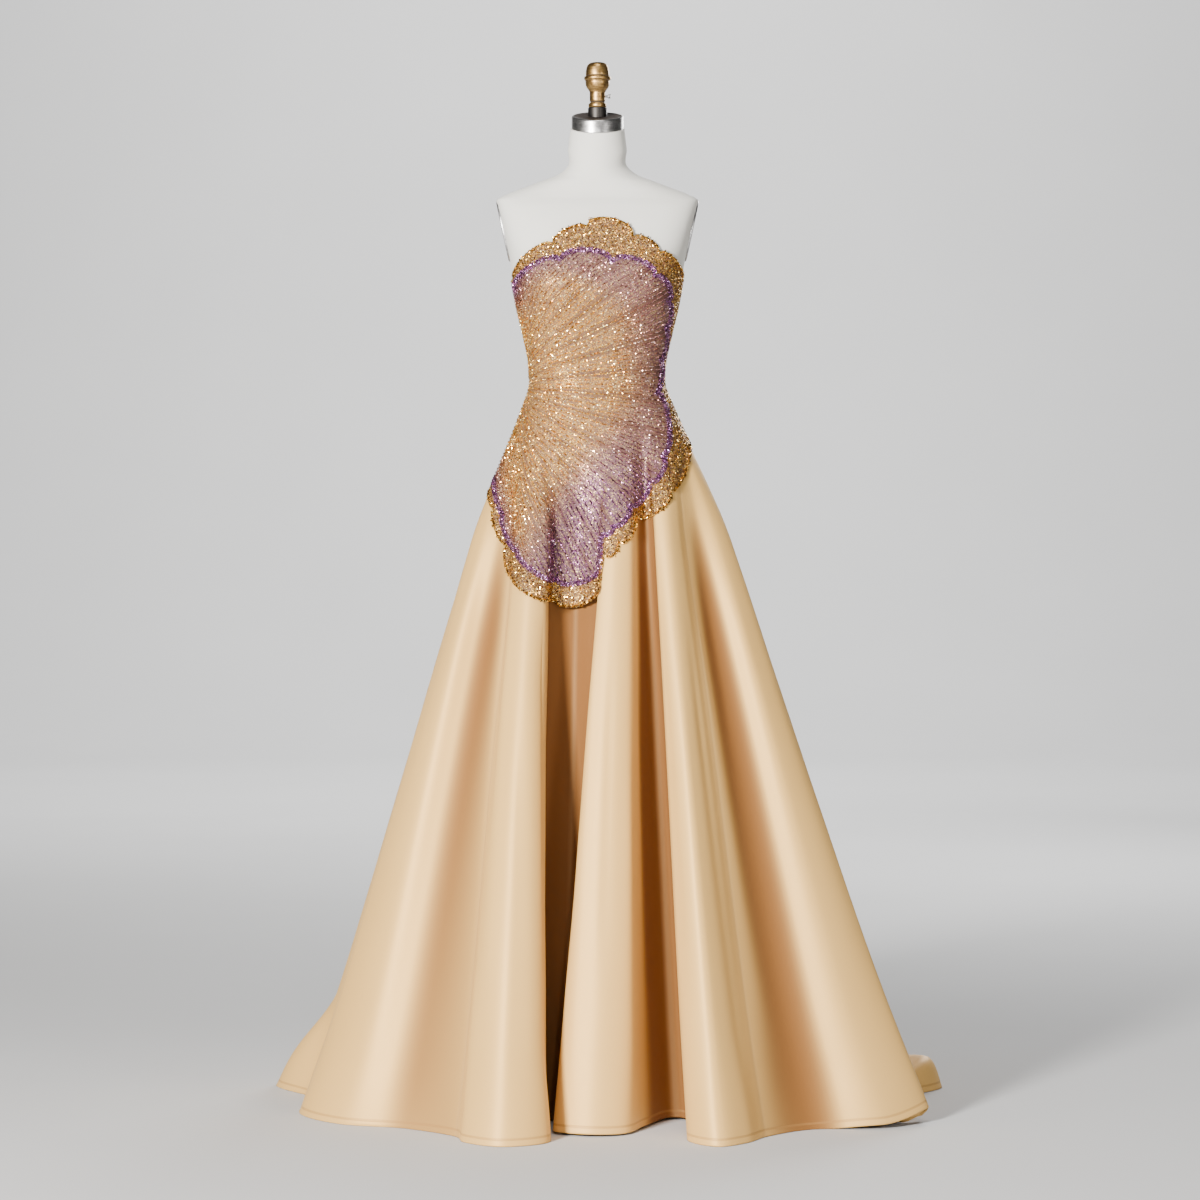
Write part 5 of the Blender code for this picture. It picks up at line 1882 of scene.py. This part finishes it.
# %% Finial
# height, radius, grime
FINIAL_PROFILE = (
    (0.0000, 0.0145, 0.6),
    (0.0010, 0.0158, 0.1),
    (0.0024, 0.0163, 0.0),
    (0.0060, 0.0162, 0.0),
    (0.0074, 0.0155, 0.1),
    (0.0088, 0.0132, 0.8),
    (0.0098, 0.0127, 1.0),
    (0.0108, 0.0129, 0.8),
    (0.0120, 0.0139, 0.2),
    (0.0132, 0.0141, 0.0),
    (0.0262, 0.0141, 0.0),
    (0.0286, 0.0144, 0.1),
    (0.0312, 0.0158, 0.0),
    (0.0340, 0.0180, 0.0),
    (0.0368, 0.0198, 0.0),
    (0.0400, 0.0210, 0.0),
    (0.0440, 0.0217, 0.0),
    (0.0478, 0.0219, 0.1),
    (0.0488, 0.0216, 0.8),
    (0.0494, 0.0222, 0.6),
    (0.0502, 0.0236, 0.0),
    (0.0518, 0.0242, 0.0),
    (0.0540, 0.0243, 0.0),
    (0.0556, 0.0237, 0.0),
    (0.0564, 0.0218, 0.8),
    (0.0571, 0.0208, 1.0),
    (0.0578, 0.0210, 0.7),
    (0.0592, 0.0213, 0.0),
    (0.0630, 0.0212, 0.0),
    (0.0670, 0.0207, 0.0),
    (0.0710, 0.0201, 0.0),
    (0.0745, 0.0191, 0.0),
    (0.0770, 0.0176, 0.0),
    (0.0792, 0.0156, 0.0),
    (0.0808, 0.0122, 0.0),
    (0.0817, 0.0080, 0.0),
    (0.0820, 0.0035, 0.0),
)
spun(
    "finial_turned", FINIAL_PROFILE, 96, (0, 0, FINIAL_BOTTOM), aged_brass,
    ["finial"],
)

# %% Thumb screw
SCREW_HEIGHT = 1.8035
SCREW_TEETH = 24
SCREW_MILLING = 0.00022
# reach from the finial's axis, radius, whether the rim is milled
SCREW_PROFILE = (
    (0.0135, 0.0020, False),
    (0.0188, 0.0020, False),
    (0.0190, 0.0034, False),
    (0.0194, 0.0037, True),
    (0.0232, 0.0037, True),
    (0.0238, 0.0033, True),
    (0.0240, 0.0022, False),
)
angles = ring_angles(72)
rings = []
for reach, radius, milled in SCREW_PROFILE:
    radii = radius + (SCREW_MILLING * np.cos(SCREW_TEETH * angles) if milled else 0.0)
    ring = [np.full(72, reach), radii * np.cos(angles), SCREW_HEIGHT + radii * np.sin(angles)]
    rings.append(np.stack(ring, axis=1))
screw = lofted("screw_turned", rings)
add_value(screw, "groove")
finish_piece(screw, brushed_steel, ["thumb_screw"])

# %% Pole and base
POLE_RADIUS = 0.0125
POLE_BEVEL = 0.0005
BASE_RADIUS = 0.170
BASE_PROFILE = (
    (0.0000, 0.985),
    (0.0010, 0.998),
    (0.0022, 1.000),
    (0.0052, 1.000),
    (0.0075, 0.996),
    (0.0092, 0.985),
    (0.0105, 0.968),
    (0.0128, 0.890),
    (0.0150, 0.815),
    (0.0172, 0.660),
    (0.0190, 0.498),
    (0.0210, 0.330),
    (0.0230, 0.222),
    (0.0262, 0.175),
    (0.0292, 0.160),
    (0.0300, 0.150),
)
base_rows = [(height, BASE_RADIUS * share, 0.0) for height, share in BASE_PROFILE]
spun("base_turned", base_rows, 144, (0, 0, 0), dark_iron, ["stand_base"])
pole_rows = [
    (0.0303, POLE_RADIUS - POLE_BEVEL, 0.0),
    (0.0310, POLE_RADIUS, 0.0),
    (0.60, POLE_RADIUS, 0.0),
    (0.9290, POLE_RADIUS, 0.0),
    (0.9297, POLE_RADIUS - POLE_BEVEL, 0.0),
]
spun("pole_turned", pole_rows, 64, (0, 0, 0), brushed_steel, ["stand_pole"])

# %% [markdown]
# ## Floor
#
# A plain pale floor takes the soft shadow under the train and throws light back up into the
# folds. It is a wide sheet that curves up into a wall far behind, so that no horizon shows.

# %% Pale floor
FLOOR_REACH = 12.0
CURVE_START = 9.0
CURVE_RADIUS = 3.0
WALL_TOP = 9.0
FLOOR_DROP = 0.0005
floor_finish = Finish("pale_floor")
shade = floor_finish.noise(floor_finish.object_place(), 1.4, 2.0)
colour = floor_finish.blend(shade, (0.50, 0.50, 0.50), (0.54, 0.54, 0.54))
rows = [(y, 0.0) for y in np.linspace(-FLOOR_REACH, CURVE_START, 14)]
for turn in np.radians(np.linspace(6, 84, 12)):
    rise = CURVE_RADIUS - CURVE_RADIUS * math.cos(turn)
    rows.append((CURVE_START + CURVE_RADIUS * math.sin(turn), rise))
rows += [(CURVE_START + CURVE_RADIUS, 4.0), (CURVE_START + CURVE_RADIUS, WALL_TOP)]
across = np.linspace(-FLOOR_REACH, FLOOR_REACH, 12)
grid = np.array([[(x, y, z - FLOOR_DROP) for x in across] for y, z in rows])
floor = add_mesh("floor", grid, quads_of(len(rows), 12)[:, ::-1])
floor.data.materials.append(floor_finish.surface(Base_Color=colour, Roughness=0.85))
